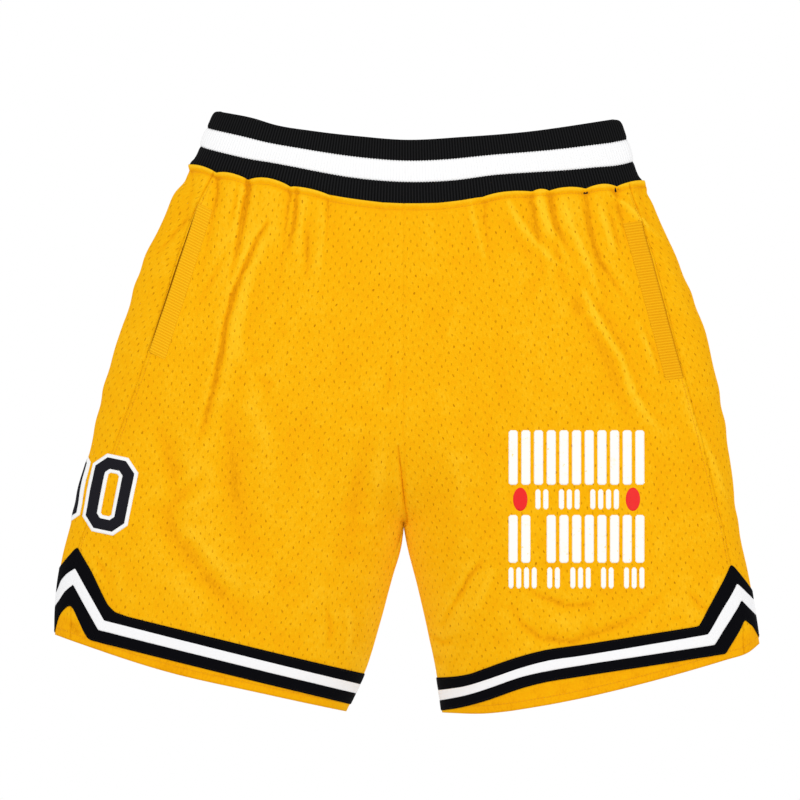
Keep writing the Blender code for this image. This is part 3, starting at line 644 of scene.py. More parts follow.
def gold_mesh(name, holes=1.0, zoned=True):
    """Tricot mesh: upright slit eyelets in a staggered lattice, with fine wales between."""
    k = Nodes(name, 0.85, sheen=0.22, sheen_rough=0.45, spec=0.05, sheen_tint=srgb(255, 190, 20))
    px_, py_ = 9.0, 10.5
    masks = []
    wob = k.math("MULTIPLY", k.math("SUBTRACT", k.noise(0.11, 2.0), 0.5), 5.0)
    wob2 = k.math("MULTIPLY", k.math("SUBTRACT", k.noise(0.09, 2.0, vector=None, stretch=(1.0, 0.8, 1.0)), 0.5), 5.0)
    for shift in (0.0, 0.5):
        a = k.math("FRACT", k.math("ADD", k.math("DIVIDE", k.math("ADD", k.u, wob), px_), 0.25 + shift))
        b = k.math("FRACT", k.math("ADD", k.math("DIVIDE", k.math("ADD", k.w, wob2), py_), 0.25 + shift))
        da = k.math("MULTIPLY", k.math("SUBTRACT", a, 0.5), px_ / 0.64)
        db = k.math("MULTIPLY", k.math("SUBTRACT", b, 0.5), py_ / 1.5)
        r = k.math("ADD", k.math("MULTIPLY", da, da), k.math("MULTIPLY", db, db))
        masks.append(k.math("SUBTRACT", 1.0, r, clamp=True))
    hole = k.math("MAXIMUM", masks[0], masks[1])
    hole = k.math("MULTIPLY", k.math("MULTIPLY", hole, 2.2, clamp=True), holes)
    tone = k.noise(0.016, 3.0, 0.55)
    fine = k.noise(0.55, 2.0, 0.6, stretch=(1.0, 0.42, 1.0))
    shade = k.math("MULTIPLY_ADD", fine, 0.34, k.math("MULTIPLY", tone, 0.20))
    if zoned:
        shading_paint, down = k.zone()
        # no eyelets in the waist seam or the hem
        plain = k.math("MAXIMUM", k.math("MULTIPLY_ADD", down, 60.0, -57.0, clamp=True),
                       k.math("MULTIPLY_ADD", down, -200.0, 4.2, clamp=True))
        hole = k.math("MULTIPLY", hole, k.math("SUBTRACT", 1.0, plain))
        # painted shade in the creases and painted highlight on the ridges, with painted light between the legs
        shade = k.math("MULTIPLY_ADD", shading_paint, 0.46, shade)
        # the turned hem is a double layer, and a little deeper in colour
        shade = k.math("SUBTRACT", shade, k.math("MULTIPLY", k.math("MULTIPLY_ADD", down, 60.0, -57.0, clamp=True), 0.10))
    else:
        shade = k.math("ADD", shade, 0.23)
    # some eyelets closed up, some stretched open
    strength = k.math("MULTIPLY_ADD", k.noise(0.10, 4.0, 0.75), 3.0, -1.02, clamp=True)
    eye = k.math("MULTIPLY", hole, strength)
    # the ramp turns the random tone and the painted shading into colour
    base = k.ramp(shade, [(0.22, GOLD_DARK), (0.40, GOLD_DEEP), (0.51, GOLD), (0.76, GOLD_LIGHT)])
    # eyelets painted dark: painted shade seen through the holes
    colour = k.mix(eye, base, HOLE_SHADE)
    wales = k.math("MULTIPLY", k.wave(k.u, 1.04), k.math("MULTIPLY_ADD", k.wave(k.w, 1.5), 0.5, 0.5))
    height = k.math("SUBTRACT", k.math("MULTIPLY_ADD", wales, 0.35, k.math("MULTIPLY", fine, 0.5)), k.math("MULTIPLY", hole, 1.0))
    rough = k.math("MULTIPLY_ADD", fine, 0.12, 0.78)
    return k.finish(colour, height, 0.35, 0.6, rough)


def rib_knit(name, colour, light, pitch=1.5, along_u=True, spec=0.1, rough=0.9):
    k = Nodes(name, rough, sheen=0.02, sheen_rough=0.4, spec=spec)
    coord, other = (k.u, k.w) if along_u else (k.w, k.u)
    rib = k.wave(coord, pitch)
    loops = k.wave(k.math("ADD", other, k.math("MULTIPLY", k.wave(coord, pitch), 0.35)), 1.1)
    fuzz = k.noise(0.8, 3.0, 0.65)
    # the rib crests and loops are painted lighter and the furrows darker, painted highlight and shade on the knit's
    # relief; the fuzz is random tone
    shade = k.math("MULTIPLY_ADD", rib, 0.55, k.math("MULTIPLY_ADD", loops, 0.12, k.math("MULTIPLY", fuzz, 0.33)))
    c = k.ramp(shade, [(0.05, colour), (0.95, light)])
    height = k.math("ADD", k.math("MULTIPLY", rib, 0.8), k.math("MULTIPLY", loops, 0.25))
    return k.finish(c, height, 0.35, 0.6, k.math("MULTIPLY_ADD", fuzz, 0.15, rough - 0.08))


def woven(name, colour, light, pitch=1.0, rough=0.75, sheen=0.02, slant=0.6, spec=0.12):
    """Fine twill: slanting ridges crossed by threads."""
    k = Nodes(name, rough, sheen=sheen, sheen_rough=0.35, spec=spec)
    line = k.math("ADD", k.u, k.math("MULTIPLY", k.w, slant))
    twill = k.wave(line, pitch)
    cross = k.wave(k.w, pitch * 0.55)
    fuzz = k.noise(0.7, 3.0, 0.6)
    # the twill ridges and cross threads are painted lighter and the furrows darker, painted highlight and shade on the
    # weave; the fuzz is random tone
    shade = k.math("MULTIPLY_ADD", twill, 0.4, k.math("MULTIPLY_ADD", cross, 0.2, k.math("MULTIPLY", fuzz, 0.4)))
    c = k.ramp(shade, [(0.1, colour), (0.9, light)])
    height = k.math("ADD", k.math("MULTIPLY", twill, 0.7), k.math("MULTIPLY", cross, 0.3))
    return k.finish(c, height, 0.2, 0.5, k.math("MULTIPLY_ADD", fuzz, 0.12, rough - 0.06))


def vinyl(name, colour, dark, rough=0.5):
    """Heat-set print with the mesh's grain showing through."""
    k = Nodes(name, rough, spec=0.4)
    grain = k.noise(0.5, 4.0, 0.7)
    wear = k.noise(0.06, 4.0, 0.7)
    wales = k.wave(k.u, 1.04)
    pits = k.math("GREATER_THAN", k.noise(0.35, 2.0, 0.5), 0.70)
    tone = k.math("SUBTRACT", k.math("MULTIPLY_ADD", wear, 0.6, k.math("MULTIPLY", grain, 0.4)), k.math("MULTIPLY", pits, 0.35))
    c = k.ramp(tone, [(0.12, dark), (0.45, colour), (0.9, colour)])
    height = k.math("ADD", k.math("MULTIPLY", wales, 0.4), k.math("MULTIPLY", grain, 0.5))
    return k.finish(c, height, 0.12, 0.4, k.math("MULTIPLY_ADD", grain, 0.2, rough - 0.1))


WELT_RIB = 2.5
M = {
    "gold": gold_mesh("gold_mesh"),
    "gold_plain": gold_mesh("gold_hem", 0.0, zoned=False),
    "gold_loose": gold_mesh("gold_bag", 1.0, zoned=False),
    "rib_gold": rib_knit("gold_rib", srgb(234, 163, 6), srgb(255, 194, 26), WELT_RIB, along_u=False, rough=0.85, spec=0.05),
    # a darker copy of the welt rib for the viewer's-right welt: painted shade, as that welt takes less light
    "rib_gold_shaded": rib_knit("gold_rib_painted_shade", srgb(226, 153, 4), srgb(252, 186, 20), WELT_RIB, along_u=False, rough=0.85, spec=0.05),
    "rib_black": rib_knit("black_rib", srgb(0, 0, 0), srgb(34, 34, 35), 2.6, spec=0.02),
    "rib_white": rib_knit("white_rib", srgb(243, 243, 244), srgb(255, 255, 255), 2.6, spec=0.05),
    "tape_black": woven("black_tape", srgb(0, 0, 2), srgb(18, 18, 22), 1.1, spec=0.02),
    "tape_white": woven("white_tape", srgb(240, 240, 243), srgb(255, 255, 255), 1.1, spec=0.05),
    "twill_black": woven("black_twill", srgb(14, 14, 18), srgb(38, 37, 44), 1.6, rough=0.75, spec=0.05),
    "twill_white": woven("white_twill", srgb(240, 240, 239), srgb(255, 255, 254), 1.6, rough=0.65, spec=0.05),
    "print_white": vinyl("white_print", srgb(255, 252, 246), srgb(255, 226, 150)),
    "print_red": vinyl("red_print", srgb(238, 14, 6), srgb(190, 8, 2)),
    "thread_gold": woven("gold_thread", srgb(228, 152, 4), srgb(255, 196, 40), 0.5, slant=1.4),
    "thread_black": woven("black_thread", srgb(8, 8, 9), srgb(34, 34, 36), 0.5, slant=1.4),
    "thread_white": woven("white_thread", srgb(226, 226, 226), srgb(252, 252, 252), 0.5, slant=1.4),
    # thin dark strips at the pocket mouths: painted shadow in the slit, fainter on the closed one
    "slit": woven("pocket_slit_painted_shadow", srgb(118, 68, 0), srgb(160, 98, 2), 0.8, slant=1.2, spec=0.02),
    "slit_soft_shadow": woven("pocket_slit_closed_painted_shadow", srgb(196, 126, 0), srgb(224, 150, 2), 0.8, slant=1.2, spec=0.02),
    "elastic": woven("elastic", srgb(214, 214, 206), srgb(244, 244, 238), 2.0, slant=0.0),
}

# --------------------------------------------------------------------------- meshes
visual = bpy.data.collections.new("boxing_shorts_looks")
bpy.context.scene.collection.children.link(visual)


def make(name, verts, faces, mat, uv=None, zone=None):
    """A mesh from arrays: verts in mm, quads or triangles, uv one per vertex in mm."""
    mesh = bpy.data.meshes.new(name)
    verts = np.asarray(verts, np.float64) * MM
    faces = np.asarray(faces, np.int32)
    k = faces.shape[1]
    mesh.vertices.add(len(verts))
    mesh.vertices.foreach_set("co", verts.astype(np.float32).ravel())
    mesh.loops.add(faces.size)
    mesh.loops.foreach_set("vertex_index", faces.ravel())
    mesh.polygons.add(len(faces))
    mesh.polygons.foreach_set("loop_start", np.arange(0, faces.size, k, dtype=np.int32))
    mesh.polygons.foreach_set("loop_total", np.full(len(faces), k, np.int32))
    mesh.update(calc_edges=True)
    mesh.validate()
    if uv is not None:
        layer = mesh.uv_layers.new(name="cloth")
        loops = np.zeros(len(mesh.loops), np.int32)
        mesh.loops.foreach_get("vertex_index", loops)
        layer.data.foreach_set("uv", np.asarray(uv, np.float32)[loops].ravel())
        if zone is not None:
            second = mesh.uv_layers.new(name="zone")
            second.data.foreach_set("uv", np.asarray(zone, np.float32)[loops].ravel())
    mesh.shade_smooth()
    mesh.materials.append(mat)
    obj = bpy.data.objects.new(name, mesh)
    visual.objects.link(obj)
    return obj


def grid_faces(nu, nw, base=0, close_u=False, flip=False, keep=None):
    i = np.arange(nu if close_u else nu - 1)
    j = np.arange(nw - 1)
    I, J = np.meshgrid(i, j, indexing="ij")
    I2 = (I + 1) % nu
    f = np.stack([I * nw + J, I2 * nw + J, I2 * nw + J + 1, I * nw + J + 1], -1)
    if keep is not None:
        f = f[keep]
    f = f.reshape(-1, 4) + base
    return f[:, ::-1] if flip else f


def shell(name, outer, inner, mat, uv, close_u=False, flip=False, hole=None, zone=None):
    """A thin closed solid between two grids of the same shape."""
    nu, nw = outer.shape[:2]
    n = nu * nw
    keep = None if hole is None else ~hole
    faces = [grid_faces(nu, nw, 0, close_u, flip, keep), grid_faces(nu, nw, n, close_u, not flip, keep)]
    # rims: every edge that only one kept cell has
    f = faces[0]
    edges = np.concatenate([f[:, [0, 1]], f[:, [1, 2]], f[:, [2, 3]], f[:, [3, 0]]])
    key = np.sort(edges, axis=1)
    _, first, count = np.unique(key[:, 0].astype(np.int64) * (2 * n) + key[:, 1], return_index=True, return_counts=True)
    rim = edges[first[count == 1]]
    faces.append(np.stack([rim[:, 1], rim[:, 0], rim[:, 0] + n, rim[:, 1] + n], -1))
    verts = np.concatenate([outer.reshape(-1, 3), inner.reshape(-1, 3)])
    uvs = np.concatenate([uv.reshape(-1, 2)] * 2)
    faces = np.concatenate(faces)
    used = np.unique(faces)
    remap = np.full(len(verts), -1)
    remap[used] = np.arange(len(used))
    second = None if zone is None else np.concatenate([zone.reshape(-1, 2)] * 2)[used]
    return make(name, verts[used], remap[faces], mat, uvs[used], second)


def arc(p):
    """Running length along the first axis of a grid of points."""
    step = np.linalg.norm(np.diff(p, axis=0), axis=-1)
    return np.concatenate([np.zeros((1,) + step.shape[1:]), np.cumsum(step, axis=0)])


def area_of(grid):
    a = np.linalg.norm(np.cross(grid[1:, :-1] - grid[:-1, :-1], grid[:-1, 1:] - grid[:-1, :-1]), axis=-1)
    return a.sum() * 1e-6


def hinge_blend(obj):
    """Bakes the piece's placement into its mesh."""
    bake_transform(obj)


SIDES = (("left", -1), ("right", 1))
SHEETS = []
GRAIN = {-1: math.radians(5.5), 1: math.radians(9.5)}


def grain(side, p, run):
    """Cloth coordinates in mm of grid points p: rows drop towards the inseam, and
    columns follow the running length along each row."""
    a, ref = GRAIN[side], p.shape[0] // 2
    x, z = p[ref, :, 0], p[ref, :, 2]
    u = x * math.cos(a) + side * z * math.sin(a)
    U = u[None, :] - side * (run - run[ref][None, :])
    W = side * p[..., 0] * math.sin(a) - p[..., 2] * math.cos(a)
    return np.stack([U, W], -1)


# body panels
for name, side in SIDES:
    for face_name, face in (("front", 1), ("back", -1)):
        nu = 186 if face > 0 else 176
        w = np.linspace(0, 1, 262)
        t = 0.70 * w + 0.30 * w ** 2
        seam = side_seam_v(side, t)
        u = np.linspace(0, 1, nu)[:, None]
        # columns crowd at the fold and the inseam on their own, through v
        v = seam[None, :] + (face - seam[None, :]) * u
        T = np.broadcast_to(t[None, :], v.shape)
        mid, n = sample(side, v, T)
        # doubled at the turned-up hem, and a rolled edge at the waist
        thick = 0.8 + 0.7 * smooth(T, 0.958, 0.962) + 0.5 * (1 - smooth(T, 0.004, 0.02))
        outer, inner = mid + n * 0.4, mid - n * (thick - 0.4)[..., None]
        run = arc(mid)
        uv = grain(side, mid, run)
        hole = None
        if face > 0:
            # the pocket mouth, under the welt
            cx = (mid[:-1, :-1] + mid[1:, 1:]) / 2
            o = [np.array(p, float) for p in WELT[side]]
            axis = o[1] - o[0]
            L = np.linalg.norm(axis)
            axis /= L
            rel = np.stack([cx[..., 0] - o[0][0], cx[..., 2] - o[0][1]], -1)
            a = rel @ axis
            b = np.abs(rel @ np.array([axis[1], -axis[0]]))
            sgn = np.sign((rel @ np.array([axis[1], -axis[0]])) * (np.array([o[2][0] - o[0][0], o[2][1] - o[0][1]]) @ np.array([axis[1], -axis[0]])))
            hole = (a > 5) & (a < L - 5) & (sgn > 0) & (b > 1.2) & (b < 8.5)
        flip = side * face < 0
        # the second map carries the painted shading and the share of the way down
        zone = np.stack([painted_shading_at(side, v, T), T], -1)
        obj = shell(f"{face_name}_panel_{name}", outer, inner, M["gold"], uv, flip=flip, hole=hole, zone=zone)
        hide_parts(f"hip_panel_{face_name}_{name}", f"flex_panel_{face_name}_{name}", f"leg_panel_{face_name}_{name}")
        hinge_blend(obj)
        SHEETS.append((obj, area_of(mid), (run[-1].max() * MM, 0.50), "hung"))
        print(obj.name, len(obj.data.vertices), "area", round(area_of(mid), 4), "width", round(run[-1].max()))

PANELS = {o.name: o for o, *_ in SHEETS}
LAYERS = {name: [] for name in PANELS}


# waistband: three knitted stripes over the elastic, rolled over at the top
def band_flat(a, h):
    h = np.asarray(h, float)[..., None]
    return (1 - h) * seam_line(a) + h * top_line(a)


def ring(turn, h, off):
    """Band point: turn runs 0..2 from the left fold along the front and back again."""
    turn, h = np.broadcast_arrays(np.asarray(turn, float), np.asarray(h, float))

    def at(shift, lift, drawn=1.0):
        tt = (turn + shift) % 2.0
        front = tt < 1.0
        a = -np.cos(np.pi * np.where(front, tt, 2.0 - tt))
        flat = band_flat(a, h + lift)
        half = np.where(a < 0, CENTRE_X - WAIST_SEAM[0][0], WAIST_SEAM[-1][0] - CENTRE_X)
        depth = np.where(front, -DEPTH_FRONT[0], DEPTH_BACK[0])
        y = depth * (1 - 0.05 * (h + lift)) * rounded((1 - np.abs(a)) * half, FOLD_WIDTH)
        # at its two folds the band is drawn in at the top corner, and between its stripes
        high = np.clip(h + lift, 0, 1)
        corner = np.where(a < 0, 3.9, 5.5) * (1 - np.sqrt(np.clip(1 - np.clip((high - 0.90) / 0.10, 0, 1) ** 2, 0, 1)))
        notch = sum(0.9 * np.exp(-((high - b) / 0.03) ** 2) for b in BAND_STRIPES[1:3])
        notch = notch - 0.5 + (1.1 + 2.8 * np.exp(-((high - 0.2) / 0.2) ** 2)) * smooth(high, 0.0, 0.12)
        at_fold = drawn * np.abs(a) ** 40
        # the drawn-in corner follows the slope of the band's top
        return np.stack([flat[..., 0] - np.sign(a) * (corner + notch) * at_fold, y,
                         flat[..., 1] - 0.18 * corner * at_fold], -1)

    p = at(0, 0)
    du, dh = at(0.02, 0, 0.0) - at(-0.02, 0, 0.0), at(0, 0.02, 0.0) - at(0, -0.02, 0.0)
    n = np.cross(du, dh)
    n /= np.linalg.norm(n, axis=-1, keepdims=True)
    # soft waves of relaxed elastic, deeper at the back
    wave = (0.55 * np.sin(turn * 61 + 1.3 * np.sin(turn * 17)) * (0.35 + 0.65 * (turn > 1))
            + 0.5 * np.sin(turn * 23 + 2.0)) * np.clip(h + 0.1, 0, 1)
    return p + n * (np.asarray(off)[..., None] + wave[..., None])


# even steps round the band: the turn that gives even running length
_probe = np.linspace(0, 2, 4001)
_len = np.concatenate([[0], np.cumsum(np.linalg.norm(np.diff(ring(_probe, 0.5, 0.0), axis=0), axis=1))])
BAND_GIRTH = _len[-1]
RIB_PITCH = 2.6
BAND_U = 4 * round(BAND_GIRTH / RIB_PITCH)
BAND_TURN = np.interp(np.arange(BAND_U) / BAND_U * BAND_GIRTH, _len, _probe)
RIB_TOOTH = np.cos(np.arange(BAND_U) * math.pi / 2)


def band_piece(name, path, mat, nodes, puff=0.0, thick=1.1, teeth=(0, 0)):
    """path: (h, off) of the outer face from the foot up; its own points turn it over the top."""
    path = np.array(path, float)
    h, off = path[:, 0], path[:, 1]
    # inner face: moved along the path's own normal
    step = np.stack([np.gradient(h) * 55.0, np.gradient(off)], -1)
    step /= np.linalg.norm(step, axis=1, keepdims=True)
    inner_h, inner_off = h + step[:, 1] * thick / 55.0, off - step[:, 0] * thick
    share = np.linspace(0, 1, len(path))
    bulge = puff * np.sin(np.pi * share) ** 0.8
    rib = 0.22 * RIB_TOOTH[:, None]
    edge = np.zeros((BAND_U, len(path)))
    edge[:, 0] += teeth[0] * RIB_TOOTH / 55.0
    edge[:, -1] += teeth[1] * RIB_TOOTH / 55.0
    turn = BAND_TURN[:, None] + 0 * h[None]
    outer = ring(turn, h[None] + edge, off[None] + bulge[None] + rib * step[None, :, 0])
    inner = ring(turn, inner_h[None] + edge, inner_off[None] + 0.6 * bulge[None])
    lengths = np.concatenate([[0], np.cumsum(np.hypot(np.diff(h) * 55.0, np.diff(off)))])
    U = np.arange(BAND_U) * (BAND_GIRTH / BAND_U)
    uv = np.stack([U[:, None] + 0 * h[None], lengths[None] + 0 * U[:, None]], -1)
    obj = shell(name, outer, inner, mat, uv, close_u=True)
    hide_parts(*nodes)
    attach(obj, "waist")
    return obj, area_of(outer), lengths[-1]


def run_h(low, high, n=9):
    return np.linspace(low, high, n)


foot = [(-0.045, 0.2), (-0.015, 0.6), (0.02, 1.5), (0.06, 2.15), (0.11, 2.45)]
lower = foot + [(h, 2.5) for h in run_h(0.15, BAND_STRIPES[1] - 0.003, 7)]
middle = [(h, 2.5) for h in run_h(BAND_STRIPES[1] + 0.003, BAND_STRIPES[2] - 0.003, 10)]
top_turn = [(0.965 + 0.048 * math.sin(a), 2.5 * math.cos(a)) for a in np.linspace(0, math.pi, 13)]
upper = ([(h, 2.5) for h in run_h(BAND_STRIPES[2] + 0.003, 0.955, 8)] + top_turn
         + [(0.945, -2.5), (0.925, -2.5)])
inner_path = [(h, -2.45) for h in run_h(0.92, 0.02, 16)]
BAND = {}
for name, path, mat, slot, nodes, puff, teeth in (
        ("waistband_stripe_lower", lower, "rib_black", "rib_black", ["waistband_lower_black"], 0.55, (0, 0.3)),
        ("waistband_stripe_middle", middle, "rib_white", "rib_white", ["waistband_middle_white"], 0.55, (0.3, 0.3)),
        ("waistband_stripe_upper", upper, "rib_black", "rib_black", ["waistband_upper_black"], 0.35, (0.3, 0)),
        ("waistband_rib_lining", inner_path, "rib_black", "rib_black", ["waistband_rib_inner"], -0.2, (0, 0))):
    obj, area, high = band_piece(name, path, M[mat], nodes, puff, teeth=teeth)
    BAND[name] = obj
    SHEETS.append((obj, area, (BAND_GIRTH * MM, high * MM), "stretched"))

# the woven elastic between the layers of the band
band_piece("waistband_elastic_woven", [(h, 0.7) for h in run_h(0.04, 0.93, 16)], M["elastic"],
           ["waistband_elastic"], thick=1.4)


# hem tapes
def tape_edge(side, number):
    pts = np.array(TAPE_EDGES[side][number], float)
    corner = 6 if (side, number) == (-1, 0) else 2
    # the straight run along the hem, in short steps, so that it stays straight in the front view
    run = curve(pts[corner:])(np.linspace(0, 1, 25)) if len(pts) - corner > 2 else pts[corner] + (pts[-1] - pts[corner]) * np.linspace(0, 1, 25)[:, None]
    pts = np.concatenate([pts[:corner], run])
    s, t = patch_of(side, pts[:, 0], pts[:, 1])
    s[0], s[-1] = 0.0, 1.0
    s = np.maximum.accumulate(s + np.arange(len(s)) * 1e-6)
    s[-1] = 1.0
    apex_q, apex_t = s[1], t[1]
    base = t[corner]
    if (side, number) in TAPE_TO_HEM:
        t[0], back_q = 0.996, -0.045
    else:
        t[0] = min(t[0], base)
        fall = (t[0] - apex_t) / apex_q
        back_q = min(apex_q - (base - apex_t) / fall, -0.015)
    bends = np.array(TAPE_BENDS.get((side, number), ()), float).reshape(-1, 2)
    bend_s, bend_t = patch_of(side, bends[:, 0], bends[:, 1])
    inside = (bend_s > 0.002) & (bend_s < apex_q - 0.002)
    q = np.concatenate([[-1.0, back_q], s[:1], bend_s[inside], s[1:]])
    level = np.concatenate([[t[-1], base], t[:1], bend_t[inside], t[1:]])
    return q[np.argsort(q, kind="stable")], np.minimum(level, 0.996)[np.argsort(q, kind="stable")]


def share_of(v):
    return np.sign(v) * (1 - np.cos(np.pi * np.abs(v))) / 2


def level_of(side, number, q):
    """How far down a tape edge runs, its corners rounded as sewn tape turns them."""
    reach = {(-1, 3): 4.5, (-1, 0): 1.8, (1, 0): 2.2, (1, 3): 1.6}.get((side, number), 1.0) / 250.0
    if (side, number) in TAPE_TO_HEM:
        reach = reach * np.clip(np.abs(q) / 0.03, 0.08, 1)
    total, weight = 0.0, 0.0
    for k in np.linspace(-1, 1, 9):
        w = 1.05 - k * k
        total = total + w * np.interp(q + k * reach, *TAPE_LINES[side][number])
        weight += w
    return total / weight


TAPE_OFF = (0.5, 1.15)
TAPE_LINES = {}
for name, side in SIDES:
    lines = [tape_edge(side, i) for i in range(4)]
    TAPE_LINES[side] = lines
    marks = np.unique(np.round(np.concatenate([v_of(q[:9]) for q, _ in lines] + [np.linspace(-1, 1, 301)]), 5))
    keep = [marks[0]]
    corners = np.concatenate([v_of(q[:9]) for q, _ in lines])
    for m in marks[1:]:
        if m - keep[-1] > 0.0035 or np.abs(corners - m).min() < 1e-4:
            keep.append(m)
    marks = np.array(keep[:-1])                       # closed: the last column is the first
    q = share_of(marks)
    for number, piece, slot, mat in ((0, "upper_black", "tape_black", "tape_black"),
                                     (1, "middle_white", "tape_white", "tape_white"),
                                     (2, "lower_black", "tape_black", "tape_black")):
        up, low = level_of(side, number, q), level_of(side, number + 1, q)
        w = np.linspace(0, 1, 9)
        T = up[:, None] + (low - up)[:, None] * w[None]
        V = marks[:, None] + 0 * T
        crown = 0.18 * np.sin(np.pi * w) ** 0.5
        outer, _ = sample(side, V, T, TAPE_OFF[1] + crown[None] + 0 * T)
        inner, _ = sample(side, V, T, TAPE_OFF[0])
        mid = (outer + inner) / 2
        U = arc(mid)
        closing = np.linalg.norm(mid[0] - mid[-1], axis=-1).max()
        W = np.linalg.norm(mid - mid[:, :1], axis=-1)
        uv = np.stack([U, W], -1)
        obj = shell(f"hem_tape_{piece.split('_')[0]}_{name}", outer, inner, M[mat], uv, close_u=True, flip=side < 0)
        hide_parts(f"hem_tape_{piece}_{name}")
        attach(obj, "leg_" + name)
        SHEETS.append((obj, area_of(mid), ((U[-1].mean() + closing) * MM, float(np.median(W[:, -1])) * MM), "hung"))
    # the turned-up hem on the inside
    v = np.linspace(-1, 1, 241)[:-1]
    T = 0.953 + (0.9975 - 0.953) * np.linspace(0, 1, 8)
    V, TT = np.meshgrid(v, T, indexing="ij")
    outer, _ = sample(side, V, TT, -1.15)
    inner, _ = sample(side, V, TT, -1.75)
    U = arc(outer)
    uv = np.stack([U, TT * 470], -1)
    obj = shell(f"hem_turn_up_{name}", outer, inner, M["gold_plain"], uv, close_u=True, flip=side < 0)
    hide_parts(f"hem_facing_{name}")
    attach(obj, "leg_" + name)
    SHEETS.append((obj, area_of(outer), (U[-1].max() * MM, 0.021), "hung"))


# welts: ribbed strips whose outer edge lifts off the pocket mouth
def cloth_at(side, x, z, off):
    s, t = patch_of(side, x, z)
    return sample(side, v_of(s), t, off)[0]


for name, side in SIDES:
    outer_top, outer_low, inner_top, inner_low = [np.array(p, float) for p in WELT[side]]
    nl, nw_ = 340, 13
    L = np.linspace(0, 1, nl)
    W = np.linspace(0, 1, nw_)
    o = outer_top + (outer_low - outer_top) * L[:, None]
    i = inner_top + (inner_low - inner_top) * L[:, None]
    xz = o[:, None] + (i - o)[:, None] * W[None, :, None]
    length = np.linalg.norm(outer_low - outer_top)
    rib = 0.22 * np.cos(2 * np.pi * L * length / WELT_RIB)
    crown = 0.7 * np.sin(np.pi * W) ** 0.5
    ends = np.minimum(np.minimum(L, 1 - L) * length / 2.0, 1.0) ** 0.5
    lifted = 0.55 + (1.1 if side < 0 else 0.35) * (1 - W) ** 1.2
    off = lifted[None] + (0.5 * crown[None] + rib[:, None] * np.sin(np.pi * np.clip(W, 0.04, 0.96)) ** 0.3) * ends[:, None]
    top = cloth_at(side, xz[..., 0], xz[..., 1], off)
    under = cloth_at(side, xz[..., 0], xz[..., 1], lifted[None] - 0.35 + 0 * off)
    U = arc(top.transpose(1, 0, 2)).T
    uv = np.stack([U, (L * length)[:, None] + 0 * U], -1)
    # the viewer's-right welt takes the darker copy: painted shade
    obj = shell(f"pocket_welt_{name}_ribbed", top, under, M["rib_gold" if side < 0 else "rib_gold_shaded"], uv, flip=side > 0)
    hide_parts(f"pocket_welt_{name}")
    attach(obj, "welt_" + name)
    SHEETS.append((obj, area_of(top), (length * MM, 0.014), "hung"))
    # the slit of the mouth along the welt's outer edge: a thin dark strip of painted shadow
    gap_u = np.linspace(0.004, 0.996, 120)
    half = (1.35 * np.sin(np.pi * gap_u) ** 0.6 if side < 0 else 0.5 * np.sin(np.pi * gap_u) ** 0.3) + 0.04
    o_line = outer_top + (outer_low - outer_top) * gap_u[:, None]
    away = -np.array([np.sign(inner_top[0] - outer_top[0]), 0.0])
    w_ = np.linspace(-1, 1, 5)
    xz = (o_line + away * 0.55)[:, None] + (away * half[:, None])[:, None] * w_[None, :, None]
    a = cloth_at(side, xz[..., 0], xz[..., 1], 0.50 + 0.10 * (1 - np.abs(w_))[None] + 0 * xz[..., 0])
    b = cloth_at(side, xz[..., 0], xz[..., 1], 0.30)
    uv = np.stack([(gap_u * length)[:, None] + 0 * w_[None], w_[None] + 0 * gap_u[:, None]], -1)
    obj = shell(f"pocket_slit_{name}", a, b, M["slit" if side < 0 else "slit_soft_shadow"], uv, flip=side < 0)
    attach(obj, "waist")
    LAYERS[f"front_panel_{name}"].append(obj)
    # the pocket mouth's bound edge, a frame that stays on the shorts under the welt
    axis = (outer_low - outer_top) / length
    across = (inner_top - outer_top) / np.linalg.norm(inner_top - outer_top)
    wide = np.linalg.norm(inner_top - outer_top)
    corners = np.array([(2.0, -0.4), (length - 2.0, -0.4), (length - 2.0, wide - 1.2), (2.0, wide - 1.2)])
    hole = np.array([(5.5, 1.6), (length - 5.5, 1.6), (length - 5.5, wide - 4.0), (5.5, wide - 4.0)])
    loop_o, loop_i = [], []
    for k in range(4):
        steps = 60 if k % 2 == 0 else 8
        for m in range(steps):
            w = m / steps
            loop_o.append(corners[k] * (1 - w) + corners[(k + 1) % 4] * w)
            loop_i.append(hole[k] * (1 - w) + hole[(k + 1) % 4] * w)
    loop_o, loop_i = np.array(loop_o), np.array(loop_i)
    w = np.linspace(0, 1, 4)
    lw = loop_o[:, None] + (loop_i - loop_o)[:, None] * w[None, :, None]
    xz = outer_top + lw[..., :1] * axis + lw[..., 1:] * across
    a = cloth_at(side, xz[..., 0], xz[..., 1], 0.46)
    b = cloth_at(side, xz[..., 0], xz[..., 1], -0.52)
    uv = np.stack([lw[..., 0], lw[..., 1]], -1)
    obj = shell(f"pocket_mouth_edge_{name}", a, b, M["gold_plain"], uv, close_u=True, flip=side < 0)
    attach(obj, "waist")
    LAYERS[f"front_panel_{name}"].append(obj)


# pocket bags: two layers of mesh lying together inside the front
def flex_t(side, v, distance):
    t = np.linspace(0.05, 0.999, 240)
    v = np.asarray(v, float)
    p = flat_point(side, ((1 - np.cos(np.pi * np.abs(v))) / 2)[..., None] * np.ones(240), t * np.ones(v.shape + (1,)))
    d = side * math.sin(FLEX_SLOPE) * (p[..., 0] - CENTRE_X) - math.cos(FLEX_SLOPE) * (p[..., 1] - CROTCH_Z)
    return np.array([np.interp(distance, row, t) for row in d.reshape(-1, 240)]).reshape(v.shape)


